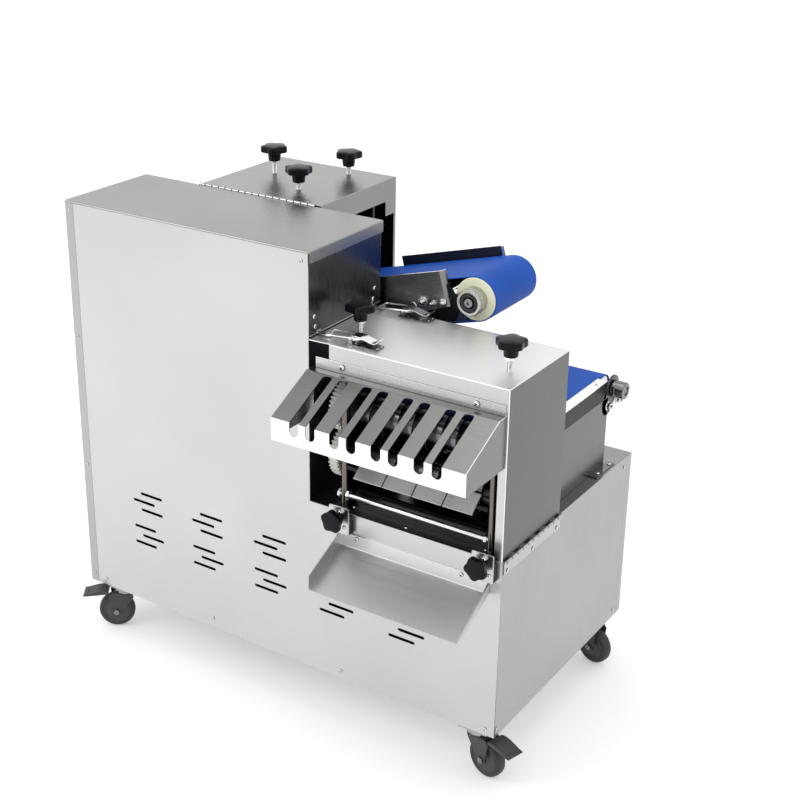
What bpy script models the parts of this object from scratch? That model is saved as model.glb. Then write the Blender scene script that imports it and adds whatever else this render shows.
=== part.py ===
"""Meat dicing machine on casters: a drive tower, an upper head that cuts slices into strips,
two belts, and a lower head behind a hinged cover that cuts the strips into dice.

Every place is measured from the cabinet's lower front left corner: X to the right along the front,
Y from the front to the back, Z up from the cabinet's underside. Sizes are in metres.
"""

import math

import bmesh
import bpy
from mathutils import Matrix, Vector

# Sheet metal and clearances
SHEET = 0.002
GAP = 0.0003
FLOOR_SHEET = 0.003

# Cabinet and drive tower
CABINET_WIDTH = 0.960
CABINET_DEPTH = 0.518
CABINET_HEIGHT = 0.351
TOWER_WIDTH = 0.566
TOWER_DEPTH = 0.228
TOWER_RISE = 0.4705
LID_FLANGE = 0.022
LEFT_RETURN = 0.020
BACK_RETURN = 0.018

# Air slots in the front panel
VENT_COLUMNS = 5
VENT_FIRST_X = 0.132
VENT_SIDE_SPACE = 0.2025
VENT_LENGTH = 0.0555
VENT_THICKNESS = 0.005
VENT_STAGGER = 0.020
VENT_ROW_PITCH = 0.018
VENT_LOW_GROUP_Z = 0.133
VENT_HIGH_GROUP_Z = 0.209

# Lower head cover
COVER_RISE = 0.3133
COVER_DEPTH = 0.211
COVER_TOWER_GAP = 0.0015
COVER_FRONT_FLANGE = 0.042
COVER_FLANGE_START = 0.042
COVER_SIDE_RETURN = 0.0155
COVER_BACK_FLANGE = 0.015

# Slotted guard on the lower cover
GUARD_END_MARGIN = 0.005
GUARD_TOWER_MARGIN = 0.009
GUARD_SETDOWN = 0.0473
GUARD_LEDGE = 0.0195
GUARD_REACH = 0.1235
GUARD_DROP = 0.052
GUARD_LIP = 0.0375
GUARD_SHEET = 0.0015
STRIP_HEIGHT = 0.020
STRIP_MARGIN = 0.004
SLOT_PAIRS = 4
SLOT_SIDE_SPACE = 0.054
SLOT_WIDTH_SHARE = 0.233
SLOT_PITCH_SHARE = 0.405
SLOT_FIRST_MARGIN = 0.049
SLOT_TOP_MARGIN = 0.002
SLOT_LIP_DEPTH = 0.024

# Piano hinges
HINGE_RADIUS = 0.004
HINGE_PIN_RADIUS = 0.002
HINGE_LEAF = 0.0015
HINGE_LEAF_WIDTH = 0.026
HINGE_KNUCKLES = 5
LOWER_HINGE_LENGTH = 0.205

# Upper head cover
HEAD_LEFT = 0.135
HEAD_WIDTH = 0.289
HEAD_BACK = 0.500
HEAD_COVER_DROP = 0.2215
OUTLET_TOP = 0.043
OUTLET_STEP = 0.030
OUTLET_STEP_WIDTH = 0.0305
OUTLET_EDGE = 0.009
INLET_TOP = 0.032
INLET_EDGE = 0.050

# Upper head frame
HEAD_PLATE = 0.006
HEAD_PLATE_INSET = 0.008
HEAD_PLATE_SETDOWN = 0.0365
HEAD_INNER_FRONT = 0.238
HEAD_INNER_BACK = 0.430
PEDESTAL_MARGIN = 0.002
PEDESTAL_NOTCH_SETDOWN = 0.2765
HEAD_SHAFT_X = 0.290

# Cutter shafts, blades and gears
GEAR_SPACING = 0.090
GEAR_ADDENDUM = 0.0022
GEAR_DEDENDUM = 0.0030
GEAR_WIDTH = 0.018
LOWER_GEAR_TEETH = 36
UPPER_GEAR_TEETH = 18
BLADE_RADIUS = 0.047
BLADE_THICKNESS = 0.002
SPACER_RADIUS = 0.028
SHAFT_RADIUS = 0.0125
BLADE_PITCH = 0.029
UPPER_BLADES = 5
LOWER_BLADES = 9
UPPER_CUTTER_SETDOWN = 0.1895
UPPER_GEAR_Y = 0.168

# Lower head
LOWER_HEAD_INSET_LEFT = 0.070
LOWER_HEAD_INSET_RIGHT = 0.034
LOWER_PLATE = 0.010
LOWER_PLATE_SETBACK = 0.0025
LOWER_PLATE_BACK = 0.205
LOWER_PLATE_SETDOWN = 0.0663
LOWER_CUTTER_Y = 0.076
LOWER_CUTTER_RISE = 0.080
LOWER_GEAR_INSET = 0.021
FRONT_BAR_Y = 0.030
FRONT_BAR_THICKNESS = 0.006
FRONT_BAR_HEIGHT = 0.036
TIE_ROD_RADIUS = 0.004
TIE_ROD_Y = 0.0175
TIE_ROD_RISE = 0.026
GUIDE_ROD_RADIUS = 0.006
GUIDE_ROD_SETDOWN = 0.104
COMB_COUNT = 4
COMB_SPLIT = 0.0023
COMB_SIDE = 0.0244
COMB_FRONT_RISE = 0.071
COMB_LENGTH = 0.040
COMB_SLOPE = math.radians(40)
COMB_THICKNESS = 0.003
COMB_BAR_RADIUS = 0.005

# Discharge chute and its clamps
CHUTE_OVERLAP_LEFT = 0.003
CHUTE_OVERLAP_RIGHT = 0.013
CHUTE_SETDOWN = 0.064
CHUTE_REACH = 0.100
CHUTE_FALL = 0.047
CHUTE_WALL = 0.026
CHUTE_LOW_WALL = 0.006
CLAMP_WIDTH = 0.042
CLAMP_PLATE = 0.003
CLAMP_STANDOFF = 0.0105
CLAMP_ABOVE = 0.016
CLAMP_BELOW = 0.0365
CLAMP_KNOB_SETDOWN = 0.004
CLAMP_LEFT_SHIFT = 0.003
CLAMP_RIGHT_SHIFT = 0.004

# Outfeed belt of the upper head
OUTFEED_TILT = math.radians(15.5)
OUTFEED_END_INSET = 0.208
OUTFEED_END_SETDOWN = 0.1205
OUTFEED_TAIL_INSET = 0.2653
OUTFEED_ROLLER_RADIUS = 0.040
OUTFEED_FRONT = 0.255
OUTFEED_WIDTH = 0.150
BELT_THICKNESS = 0.002
ROLLER_MARGIN = 0.002
OUTFEED_PLATE = 0.004
OUTFEED_PLATE_GAP = 0.0125
OUTFEED_BACK_GAP = 0.0055
OUTFEED_RAIL = 0.018
OUTFEED_PLATE_DROP = 0.028
OUTFEED_FRONT_END = 0.054
OUTFEED_BACK_END = 0.030
OUTFEED_SHAFT_RADIUS = 0.0085
BEARING_RADIUS = 0.025
BEARING_REACH = 0.024

# Belt that feeds the lower head
FEED_BELT_RISE = 0.1735
FEED_BELT_MARGIN = 0.006
FEED_ROLLER_RADIUS = 0.0200
FEED_FRONT_Y = 0.165
FEED_BACK_Y = 0.456
FEED_SHAFT_RADIUS = 0.007
FEED_HUB_RADIUS = 0.0165
FEED_HUB_REACH = 0.026
RAIL_FRONT = 0.207
RAIL_BACK = 0.428
RAIL_SHEET = 0.004
RAIL_FLANGE = 0.016
RAIL_HEIGHT = 0.033
STAND_FRONT = 0.235
STAND_BACK = 0.438
TAKE_UP_RADIUS = 0.026
TAKE_UP_DROP = 0.022
TAKE_UP_SETBACK = 0.020
TAKE_UP_TURN = math.radians(40)

# Infeed tray
INFEED_LEFT = -0.030
INFEED_RIGHT = 0.232
INFEED_SETDOWN = 0.1415
INFEED_SLOPE = math.radians(6)
INFEED_WALL = 0.030

# Star knobs
KNOB_LOBES = 5
KNOB_RADIUS = 0.0275
KNOB_NOTCH = 0.0050
KNOB_CAP = 0.014
KNOB_HUB = 0.0135
KNOB_HUB_HEIGHT = 0.018
KNOB_STEM = 0.005
KNOB_STEM_BELOW = 0.016
UPPER_KNOB_INSETS = (0.071, 0.185, 0.199)
UPPER_KNOB_Y = (0.385, 0.3115, 0.462)
UPPER_KNOB_STEMS = (0.026, 0.015, 0.017)
LOWER_KNOB_LEFT_INSET = 0.051
LOWER_KNOB_RIGHT_INSET = 0.0375
LOWER_KNOB_Y = (0.085, 0.0685)
LOWER_KNOB_STEMS = (0.020, 0.022)
CLAMP_KNOB_SCALE = 0.80

# Draw latches between the lower cover and the tower
LATCH_FRONT_Y = 0.030
LATCH_BACK_Y = 0.196
LATCH_PIVOT_REACH = 0.074
LATCH_PIVOT_RISE = 0.0095
LATCH_BASE_LENGTH = 0.064
LATCH_BASE_WIDTH = 0.028
LATCH_LEVER_LENGTH = 0.052
LATCH_LEVER_WIDTH = 0.020
LATCH_SHEET = 0.0015
LATCH_PIN_RADIUS = 0.002
BAIL_OFFSET = 0.013
BAIL_RISE = 0.0045
BAIL_END_REACH = 0.0245
BAIL_WIRE = 0.0015
KEEPER_WIDTH = 0.010
KEEPER_LIP_GAP = 0.0025
KEEPER_DROP = 0.0035

# Casters
CASTER_HEIGHT = 0.100
WHEEL_RADIUS = 0.0375
WHEEL_WIDTH = 0.024
CASTER_TRAIL = 0.022
CASTER_INSET_LEFT = 0.068
CASTER_INSET_RIGHT = 0.045
CASTER_INSET_FRONT = 0.031
CASTER_INSET_BACK = 0.048
CASTER_PLATE = 0.058
CASTER_PLATE_THICKNESS = 0.004
CASTER_RACE_RADIUS = 0.024
CASTER_RACE_HEIGHT = 0.011
FORK_CROWN = 0.005
FORK_LEG = 0.0025
FORK_LEG_WIDTH = 0.030
AXLE_RADIUS = 0.004
AXLE_HEAD = 0.007
PEDAL_REACH = 0.090
PEDAL_WIDTH = 0.036
FRONT_LEFT_SWIVEL = math.radians(215)
FRONT_RIGHT_SWIVEL = math.radians(-16)
BACK_LEFT_SWIVEL = math.radians(200)
BACK_RIGHT_SWIVEL = math.radians(-16)

# Gear motors in the tower
MOTOR_RADIUS = 0.045
MOTOR_LENGTH = 0.100
GEARBOX_WIDTH = 0.090
GEARBOX_LENGTH = 0.045
GEARBOX_RISE = 0.060
UPPER_MOTOR_FACE = 0.155
LOWER_MOTOR_SETBACK = 0.021
COUPLING_RADIUS = 0.016

# Main switch on the left side
SWITCH_Y = 0.060
SWITCH_SETDOWN = 0.1215
SWITCH_RADIUS = 0.024
SWITCH_REACH = 0.022
SWITCH_STEM = 0.006

ROUND = 20
COARSE = 12


def box(low, high):
    """A closed box between two corners."""
    points = [(x, y, z) for x in (low[0], high[0]) for y in (low[1], high[1]) for z in (low[2], high[2])]
    faces = [(0, 1, 3, 2), (4, 6, 7, 5), (0, 4, 5, 1), (2, 3, 7, 6), (0, 2, 6, 4), (1, 5, 7, 3)]
    mesh = bpy.data.meshes.new("box")
    mesh.from_pydata(points, [], faces)
    return outward(mesh)


def outward(mesh):
    """Turns all faces of a closed mesh outwards."""
    shape = bmesh.new()
    shape.from_mesh(mesh)
    bmesh.ops.recalc_face_normals(shape, faces=shape.faces)
    shape.to_mesh(mesh)
    shape.free()
    return mesh


def lift(axis, along, u, v):
    """The 3-D point of plane coordinates u and v at a place along an axis."""
    if axis == "x":
        return (along, u, v)
    if axis == "y":
        return (u, along, v)
    return (u, v, along)


def prism(axis, outline, start, stop):
    """An outline in the plane across an axis, extruded from start to stop."""
    count = len(outline)
    points = [lift(axis, end, u, v) for end in (start, stop) for u, v in outline]
    faces = [tuple(range(count)), tuple(range(count, 2 * count))]
    faces += [(i, (i + 1) % count, count + (i + 1) % count, count + i) for i in range(count)]
    mesh = bpy.data.meshes.new("prism")
    mesh.from_pydata(points, [], faces)
    return outward(mesh)


def loft(sections, closed=False):
    """Skins a list of rings that have equally many points; the ends are capped, or joined when closed."""
    count = len(sections[0])
    points = [point for section in sections for point in section]
    faces = []
    last = len(sections) if closed else len(sections) - 1
    for k in range(last):
        a = k * count
        b = (k + 1) % len(sections) * count
        faces += [(a + i, a + (i + 1) % count, b + (i + 1) % count, b + i) for i in range(count)]
    if not closed:
        faces += [tuple(range(count)), tuple(range(len(points) - count, len(points)))]
    mesh = bpy.data.meshes.new("loft")
    mesh.from_pydata(points, [], faces)
    return outward(mesh)


def turned(axis, centre, profile, sides=ROUND, bored=False):
    """Turns a profile of (radius, place along the axis) about an axis through centre (u, v)."""
    angles = [2 * math.pi * i / sides for i in range(sides)]
    rings = []
    for radius, along in profile:
        rings.append([lift(axis, along, centre[0] + radius * math.cos(a), centre[1] + radius * math.sin(a))
                      for a in angles])
    return loft(rings, closed=bored)


def rod(axis, centre, radius, start, stop, sides=COARSE):
    """A plain round rod."""
    return turned(axis, centre, [(radius, start), (radius, stop)], sides)


def bore(axis, centre, radius, start, stop, sides=COARSE):
    """A cutter for a hole in which a rod of that radius turns freely, clear of the hole's flat sides."""
    return rod(axis, centre, (radius + GAP) / math.cos(math.pi / sides), start, stop, sides)


def tube(axis, centre, inner, outer, start, stop, sides=COARSE):
    """A round ring with a bore."""
    profile = [(inner, start), (outer, start), (outer, stop), (inner, stop)]
    return turned(axis, centre, profile, sides, bored=True)


def group(*meshes):
    """Separate closed solids kept in one mesh."""
    shape = bmesh.new()
    for mesh in meshes:
        shape.from_mesh(mesh)
    joined = bpy.data.meshes.new("group")
    shape.to_mesh(joined)
    shape.free()
    return joined


def boolean(mesh, tools, operation):
    """Unites a mesh with each of the tools, or cuts each of them out of it."""
    body = bpy.data.objects.new("body", mesh)
    bpy.context.scene.collection.objects.link(body)
    helpers = []
    for tool in tools:
        helper = bpy.data.objects.new("tool", tool)
        helper.hide_render = True
        helper.display_type = "WIRE"
        bpy.context.scene.collection.objects.link(helper)
        helpers.append(helper)
        modifier = body.modifiers.new("boolean", "BOOLEAN")
        modifier.operation = operation
        modifier.solver = "EXACT"
        modifier.object = helper
    graph = bpy.context.evaluated_depsgraph_get()
    result = bpy.data.meshes.new_from_object(body.evaluated_get(graph))
    for helper in helpers + [body]:
        bpy.data.objects.remove(helper)
    return result


def united(first, *others):
    return boolean(first, others, "UNION")


def cut(mesh, *tools):
    return boolean(mesh, tools, "DIFFERENCE")


def turned_about(mesh, axis, angle, centre):
    """The mesh turned about an axis through a centre."""
    move = Matrix.Translation(centre) @ Matrix.Rotation(angle, 4, axis) @ Matrix.Translation(-Vector(centre))
    mesh.transform(move)
    return mesh


def material(name, colour, roughness, metallic):
    made = bpy.data.materials.new(name)
    made.use_nodes = True
    shader = made.node_tree.nodes["Principled BSDF"]
    shader.inputs["Base Color"].default_value = (*colour, 1.0)
    shader.inputs["Roughness"].default_value = roughness
    shader.inputs["Metallic"].default_value = metallic
    made.diffuse_color = (*colour, 1.0)
    return made


for old in list(bpy.data.objects):
    bpy.data.objects.remove(old)

BRUSHED = material("brushed_stainless", (0.72, 0.72, 0.71), 0.34, 1.0)
POLISHED = material("polished_steel", (0.80, 0.80, 0.80), 0.14, 1.0)
DARK_STEEL = material("dark_steel", (0.30, 0.30, 0.31), 0.32, 1.0)
BLUE_BELT = material("blue_belt", (0.010, 0.090, 0.520), 0.45, 0.0)
CREAM_NYLON = material("cream_nylon", (0.83, 0.85, 0.63), 0.50, 0.0)
WHITE_NYLON = material("white_nylon", (0.86, 0.86, 0.82), 0.45, 0.0)
BLACK_PLASTIC = material("black_plastic", (0.012, 0.012, 0.016), 0.30, 0.0)
BLACK_RUBBER = material("black_rubber", (0.020, 0.020, 0.022), 0.55, 0.0)
BLACK_PAINT = material("black_paint", (0.016, 0.016, 0.018), 0.35, 0.0)
MOTOR_PAINT = material("motor_paint", (0.10, 0.12, 0.15), 0.45, 0.0)

machine = bpy.data.objects.new("machine", None)
bpy.context.scene.collection.objects.link(machine)


def place(name, mesh, finish, pivot=(0.0, 0.0, 0.0), smooth=False):
    """Names a solid and gives it its finish; a moving piece has its origin on its joint's axis."""
    mesh.transform(Matrix.Translation(-Vector(pivot)))
    mesh.name = name
    mesh.materials.clear()
    mesh.materials.append(finish)
    if smooth:
        mesh.shade_smooth()
        mesh.set_sharp_from_angle(angle=math.radians(35))
    made = bpy.data.objects.new(name, mesh)
    bpy.context.scene.collection.objects.link(made)
    made.parent = machine
    made.location = pivot
    return made


# Places worked out from the sizes above
TOWER_HEIGHT = CABINET_HEIGHT + TOWER_RISE
COVER_TOP = CABINET_HEIGHT + COVER_RISE
GUARD_TOP = COVER_TOP - GUARD_SETDOWN
HEAD_PLATE_TOP = TOWER_HEIGHT - HEAD_PLATE_SETDOWN
PEDESTAL_NOTCH_Z = TOWER_HEIGHT - PEDESTAL_NOTCH_SETDOWN
UPPER_CUTTER_Z = TOWER_HEIGHT - UPPER_CUTTER_SETDOWN
LOWER_HEAD_LEFT = TOWER_WIDTH + LOWER_HEAD_INSET_LEFT
LOWER_HEAD_RIGHT = CABINET_WIDTH - LOWER_HEAD_INSET_RIGHT
LOWER_PLATE_TOP = COVER_TOP - LOWER_PLATE_SETDOWN
LOWER_CUTTER_Z = CABINET_HEIGHT + LOWER_CUTTER_RISE
LOWER_GEAR_X = TOWER_WIDTH + LOWER_GEAR_INSET
TIE_ROD_Z = CABINET_HEIGHT + TIE_ROD_RISE
GUIDE_ROD_TOP = COVER_TOP - GUIDE_ROD_SETDOWN
COMB_FRONT_Z = CABINET_HEIGHT + COMB_FRONT_RISE
LOWER_PLATE_FRONT = TIE_ROD_Y + GUIDE_ROD_RADIUS + LOWER_PLATE_SETBACK
GUIDE_LEFT_X = LOWER_HEAD_LEFT - LOWER_PLATE / 2
GUIDE_RIGHT_X = LOWER_HEAD_RIGHT + LOWER_PLATE / 4
CHUTE_LEFT = LOWER_HEAD_LEFT - CHUTE_OVERLAP_LEFT
CHUTE_RIGHT = LOWER_HEAD_RIGHT + CHUTE_OVERLAP_RIGHT
CHUTE_BACK_Z = CABINET_HEIGHT - CHUTE_SETDOWN
CLAMP_TOP = CABINET_HEIGHT + CLAMP_ABOVE
CLAMP_BOTTOM = CABINET_HEIGHT - CLAMP_BELOW
CLAMP_KNOB_Z = CABINET_HEIGHT - CLAMP_KNOB_SETDOWN
CLAMP_RIGHT_X = LOWER_HEAD_RIGHT + CLAMP_RIGHT_SHIFT
OUTFEED_END_X = CABINET_WIDTH - OUTFEED_END_INSET
OUTFEED_END_Z = TOWER_HEIGHT - OUTFEED_END_SETDOWN
OUTFEED_TAIL_X = HEAD_LEFT + OUTFEED_TAIL_INSET
FEED_BELT_TOP = CABINET_HEIGHT + FEED_BELT_RISE
FEED_BELT_LEFT = LOWER_HEAD_LEFT + FEED_BELT_MARGIN
FEED_BELT_RIGHT = LOWER_HEAD_RIGHT - FEED_BELT_MARGIN
RAIL_BOTTOM = FEED_BELT_TOP - RAIL_HEIGHT
INFEED_LOW = TOWER_HEIGHT - INFEED_SETDOWN
LATCH_PIVOT_X = TOWER_WIDTH + LATCH_PIVOT_REACH
BAIL_END_X = TOWER_WIDTH + BAIL_END_REACH
LOWER_MOTOR_FACE = TOWER_WIDTH - LOWER_MOTOR_SETBACK
SWITCH_Z = TOWER_HEIGHT - SWITCH_SETDOWN
VENT_PITCH_X = (CABINET_WIDTH - VENT_SIDE_SPACE) / VENT_COLUMNS
GUARD_WIDTH = CABINET_WIDTH - TOWER_WIDTH - GUARD_END_MARGIN - GUARD_TOWER_MARGIN
STRIP_WIDTH = GUARD_WIDTH - 2 * STRIP_MARGIN
SLOT_PAIR_PITCH = (GUARD_WIDTH - SLOT_SIDE_SPACE) / SLOT_PAIRS
SLOT_WIDTH = SLOT_PAIR_PITCH * SLOT_WIDTH_SHARE
SLOT_PITCH = SLOT_PAIR_PITCH * SLOT_PITCH_SHARE
COMB_WIDTH = (LOWER_HEAD_RIGHT - LOWER_HEAD_LEFT - 2 * COMB_SIDE) / COMB_COUNT - COMB_SPLIT
CLAMP_LEFT_X = LOWER_HEAD_LEFT + CLAMP_LEFT_SHIFT
OUTFEED_LENGTH = (OUTFEED_END_X - OUTFEED_TAIL_X) / math.cos(OUTFEED_TILT)
UPPER_KNOBS = [
    (name, HEAD_LEFT + inset, y, stem)
    for name, inset, y, stem in zip(
        ("upper_knob_left", "upper_knob_front", "upper_knob_back"), UPPER_KNOB_INSETS, UPPER_KNOB_Y, UPPER_KNOB_STEMS)
]
LOWER_KNOBS = [
    ("lower_knob_left", TOWER_WIDTH + LOWER_KNOB_LEFT_INSET, LOWER_KNOB_Y[0], LOWER_KNOB_STEMS[0]),
    ("lower_knob_right", CABINET_WIDTH - LOWER_KNOB_RIGHT_INSET, LOWER_KNOB_Y[1], LOWER_KNOB_STEMS[1]),
]
DECK_EDGE = SHEET + GAP
STRIP_FRONT = -SHEET - GAP
COVER_LEFT = TOWER_WIDTH + COVER_TOWER_GAP
HEAD_RIGHT = HEAD_LEFT + HEAD_WIDTH
LID_BACK = TOWER_DEPTH + GAP + SHEET
UPPER_HINGE_Y = LID_BACK + GAP + HINGE_RADIUS
LOWER_HINGE_X = CABINET_WIDTH + GAP + HINGE_RADIUS
GEAR_PITCH_RADIUS = GEAR_SPACING / 2
UPPER_CUTTER_TOP_Z = UPPER_CUTTER_Z + GEAR_SPACING
LOWER_CUTTER_TOP_Z = LOWER_CUTTER_Z + GEAR_SPACING
OUTFEED_BACK = OUTFEED_FRONT + OUTFEED_WIDTH
AXLE_Z = WHEEL_RADIUS - CASTER_HEIGHT
PEDAL_START = CASTER_TRAIL + FORK_LEG_WIDTH / 2 + 2 * GAP
PEDAL_PIVOT = PEDAL_START + FORK_CROWN / 2
PEDAL_PIVOT_Z = -CASTER_PLATE_THICKNESS - CASTER_RACE_HEIGHT - GAP - FORK_CROWN / 2
FAR = CABINET_WIDTH + CABINET_DEPTH + TOWER_HEIGHT
EAR_INNER = LATCH_LEVER_WIDTH / 2 + GAP
EAR_OUTER = EAR_INNER + LATCH_SHEET
BAIL_ARM = EAR_OUTER + 2 * GAP + BAIL_WIRE


def front_panel():
    """L-shaped front sheet of cabinet and tower, with staggered air slots."""
    top = TOWER_HEIGHT - DECK_EDGE
    outline = [
        (LEFT_RETURN + GAP, 0.0),
        (CABINET_WIDTH, 0.0),
        (CABINET_WIDTH, CABINET_HEIGHT),
        (TOWER_WIDTH, CABINET_HEIGHT),
        (TOWER_WIDTH, top),
        (LEFT_RETURN + GAP, top),
    ]
    sheet = prism("y", outline, 0.0, SHEET)
    slots = []
    for column in range(VENT_COLUMNS):
        left = VENT_FIRST_X + column * VENT_PITCH_X
        for base, shifted in ((VENT_LOW_GROUP_Z, (1,)), (VENT_HIGH_GROUP_Z, (0, 2))):
            for row in range(3):
                x = left + (VENT_STAGGER if row in shifted else 0.0)
                slots.append(vent_slot(x, base + row * VENT_ROW_PITCH))
    return cut(sheet, group(*slots))


def vent_slot(x, z):
    """One air slot through the front sheet."""
    half = VENT_THICKNESS / 2
    return box((x, -SHEET, z - half), (x + VENT_LENGTH, 2 * SHEET, z + half))


def left_panel():
    """Left side sheet of cabinet and tower, folded round the front edge."""
    outline = [
        (0.0, 0.0),
        (LEFT_RETURN, 0.0),
        (LEFT_RETURN, SHEET),
        (SHEET, SHEET),
        (SHEET, CABINET_DEPTH - BACK_RETURN - GAP),
        (0.0, CABINET_DEPTH - BACK_RETURN - GAP),
    ]
    sheet = prism("z", outline, 0.0, TOWER_HEIGHT - DECK_EDGE)
    above = box((-FAR, TOWER_DEPTH, CABINET_HEIGHT), (FAR, FAR, FAR))
    hole = bore("x", (SWITCH_Y, SWITCH_Z), SWITCH_STEM, -SHEET, 2 * SHEET)
    return cut(sheet, above, hole)


def back_panel():
    """Back sheet of the cabinet, folded round both rear edges."""
    outline = [
        (0.0, CABINET_DEPTH - BACK_RETURN),
        (SHEET, CABINET_DEPTH - BACK_RETURN),
        (SHEET, CABINET_DEPTH - SHEET),
        (CABINET_WIDTH - SHEET, CABINET_DEPTH - SHEET),
        (CABINET_WIDTH - SHEET, CABINET_DEPTH - BACK_RETURN),
        (CABINET_WIDTH, CABINET_DEPTH - BACK_RETURN),
        (CABINET_WIDTH, CABINET_DEPTH),
        (0.0, CABINET_DEPTH),
    ]
    return prism("z", outline, 0.0, CABINET_HEIGHT)


def tower_lid():
    """Shallow cap over the tower, with the fixed leaf of the upper hinge welded on its back."""
    reach = SHEET + GAP
    outer = box((-reach, -reach, TOWER_HEIGHT - LID_FLANGE), (TOWER_WIDTH + reach, LID_BACK, TOWER_HEIGHT))
    inner = box((-GAP, -GAP, 0), (TOWER_WIDTH + GAP, TOWER_DEPTH + GAP, TOWER_HEIGHT - SHEET))
    return united(cut(outer, inner), upper_hinge_leaf())


def tower_wrap():
    """Back and right walls of the tower in one folded sheet, with shaft holes and the latches' keepers."""
    outline = [
        (DECK_EDGE, TOWER_DEPTH - SHEET),
        (TOWER_WIDTH - SHEET, TOWER_DEPTH - SHEET),
        (TOWER_WIDTH - SHEET, DECK_EDGE),
        (TOWER_WIDTH, DECK_EDGE),
        (TOWER_WIDTH, TOWER_DEPTH),
        (DECK_EDGE, TOWER_DEPTH),
    ]
    sheet = prism("z", outline, CABINET_HEIGHT + GAP, TOWER_HEIGHT - DECK_EDGE)
    holes = [
        bore("y", (HEAD_SHAFT_X, z), SHAFT_RADIUS, TOWER_DEPTH - 2 * SHEET, TOWER_DEPTH + SHEET)
        for z in (UPPER_CUTTER_Z, UPPER_CUTTER_TOP_Z)
    ]
    wall = (TOWER_WIDTH - 2 * SHEET, TOWER_WIDTH + SHEET)
    holes.append(bore("x", (LOWER_CUTTER_Y, LOWER_CUTTER_Z), SHAFT_RADIUS, *wall))
    keepers = [latch_keeper(y) for y in (LATCH_FRONT_Y, LATCH_BACK_Y)]
    return united(cut(sheet, *holes), *keepers)


def caster_places():
    """Name, swivel axis, swivel angle and brake of each caster."""
    left = CASTER_INSET_LEFT
    right = CABINET_WIDTH - CASTER_INSET_RIGHT
    front = CASTER_INSET_FRONT
    back = CABINET_DEPTH - CASTER_INSET_BACK
    return [
        ("front_left", left, front, FRONT_LEFT_SWIVEL, True),
        ("front_right", right, front, FRONT_RIGHT_SWIVEL, True),
        ("back_left", left, back, BACK_LEFT_SWIVEL, False),
        ("back_right", right, back, BACK_RIGHT_SWIVEL, False),
    ]


def base_floor():
    """Floor of the cabinet with the four caster plates and ball races under it."""
    limit = CABINET_WIDTH - DECK_EDGE
    floor = box((DECK_EDGE, DECK_EDGE, 0), (limit, CABINET_DEPTH - DECK_EDGE, FLOOR_SHEET))
    parts = []
    half = CASTER_PLATE / 2
    for _, x, y, _, _ in caster_places():
        low = -CASTER_PLATE_THICKNESS
        parts.append(box((x - half, y - half, low), (x + half, y + half, FLOOR_SHEET / 2)))
        parts.append(rod("z", (x, y), CASTER_RACE_RADIUS, low - CASTER_RACE_HEIGHT, low / 2))
    return united(floor, *parts)


def lower_cover():
    """Hinged hood over the lower head: top, right side, and folded front and back edges."""
    top = COVER_TOP
    right = CABINET_WIDTH
    inner_right = right - SHEET
    bottom = CABINET_HEIGHT + 2 * GAP
    shell = box((COVER_LEFT, 0, bottom), (right, COVER_DEPTH, top))
    flange_left = COVER_LEFT + COVER_FLANGE_START
    shell = cut(
        shell,
        box((0, SHEET, 0), (inner_right, COVER_DEPTH - SHEET, top - SHEET)),
        box((0, -FAR, 0), (right - COVER_SIDE_RETURN, 2 * SHEET, top - COVER_FRONT_FLANGE)),
        box((0, -FAR, 0), (flange_left, 2 * SHEET, top - SHEET)),
        box((0, COVER_DEPTH - 2 * SHEET, 0), (inner_right, FAR, top - COVER_BACK_FLANGE)),
        *[bore("z", (x, y), KNOB_STEM, top - 2 * SHEET, top + SHEET) for _, x, y, _ in LOWER_KNOBS],
    )
    parts = []
    for start, stop in knuckle_spans(COVER_DEPTH - LOWER_HINGE_LENGTH, COVER_DEPTH, moving=True):
        z = CABINET_HEIGHT
        parts.append(tube("y", (LOWER_HINGE_X, z), HINGE_PIN_RADIUS + GAP, HINGE_RADIUS, start, stop, 12))
        parts.append(
            box(
                (inner_right, start, bottom),
                (LOWER_HINGE_X - HINGE_PIN_RADIUS / 2, stop, z + HINGE_PIN_RADIUS + GAP + HINGE_LEAF),
            )
        )
    hole = bore("y", (LOWER_HINGE_X, CABINET_HEIGHT), HINGE_PIN_RADIUS, -FAR, FAR)
    return cut(united(shell, *parts), hole)


def knuckle_spans(start, stop, moving):
    """Start and end of each knuckle of a piano hinge; fixed and moving ones alternate."""
    pitch = (stop - start) / HINGE_KNUCKLES
    spans = []
    for k in range(HINGE_KNUCKLES):
        if (k % 2 == 1) == moving:
            spans.append((start + k * pitch + GAP, start + (k + 1) * pitch - GAP))
    return spans


def lower_hinge_leaf():
    """Fixed leaf on the cabinet's right side, with its knuckles and the pin."""
    start = COVER_DEPTH - LOWER_HINGE_LENGTH
    face = CABINET_WIDTH + GAP
    z = CABINET_HEIGHT
    leaf = box((face, start, z - HINGE_LEAF_WIDTH), (face + HINGE_LEAF, COVER_DEPTH, z - HINGE_RADIUS - GAP))
    parts = []
    for low, high in knuckle_spans(start, COVER_DEPTH, moving=False):
        parts.append(rod("y", (LOWER_HINGE_X, z), HINGE_RADIUS, low, high, 12))
        parts.append(box((face, low, z - 2 * HINGE_RADIUS), (face + HINGE_LEAF, high, z - HINGE_RADIUS / 3)))
    parts.append(rod("y", (LOWER_HINGE_X, z), HINGE_PIN_RADIUS, start + GAP, COVER_DEPTH - GAP, 12))
    return united(leaf, *parts)


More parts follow.
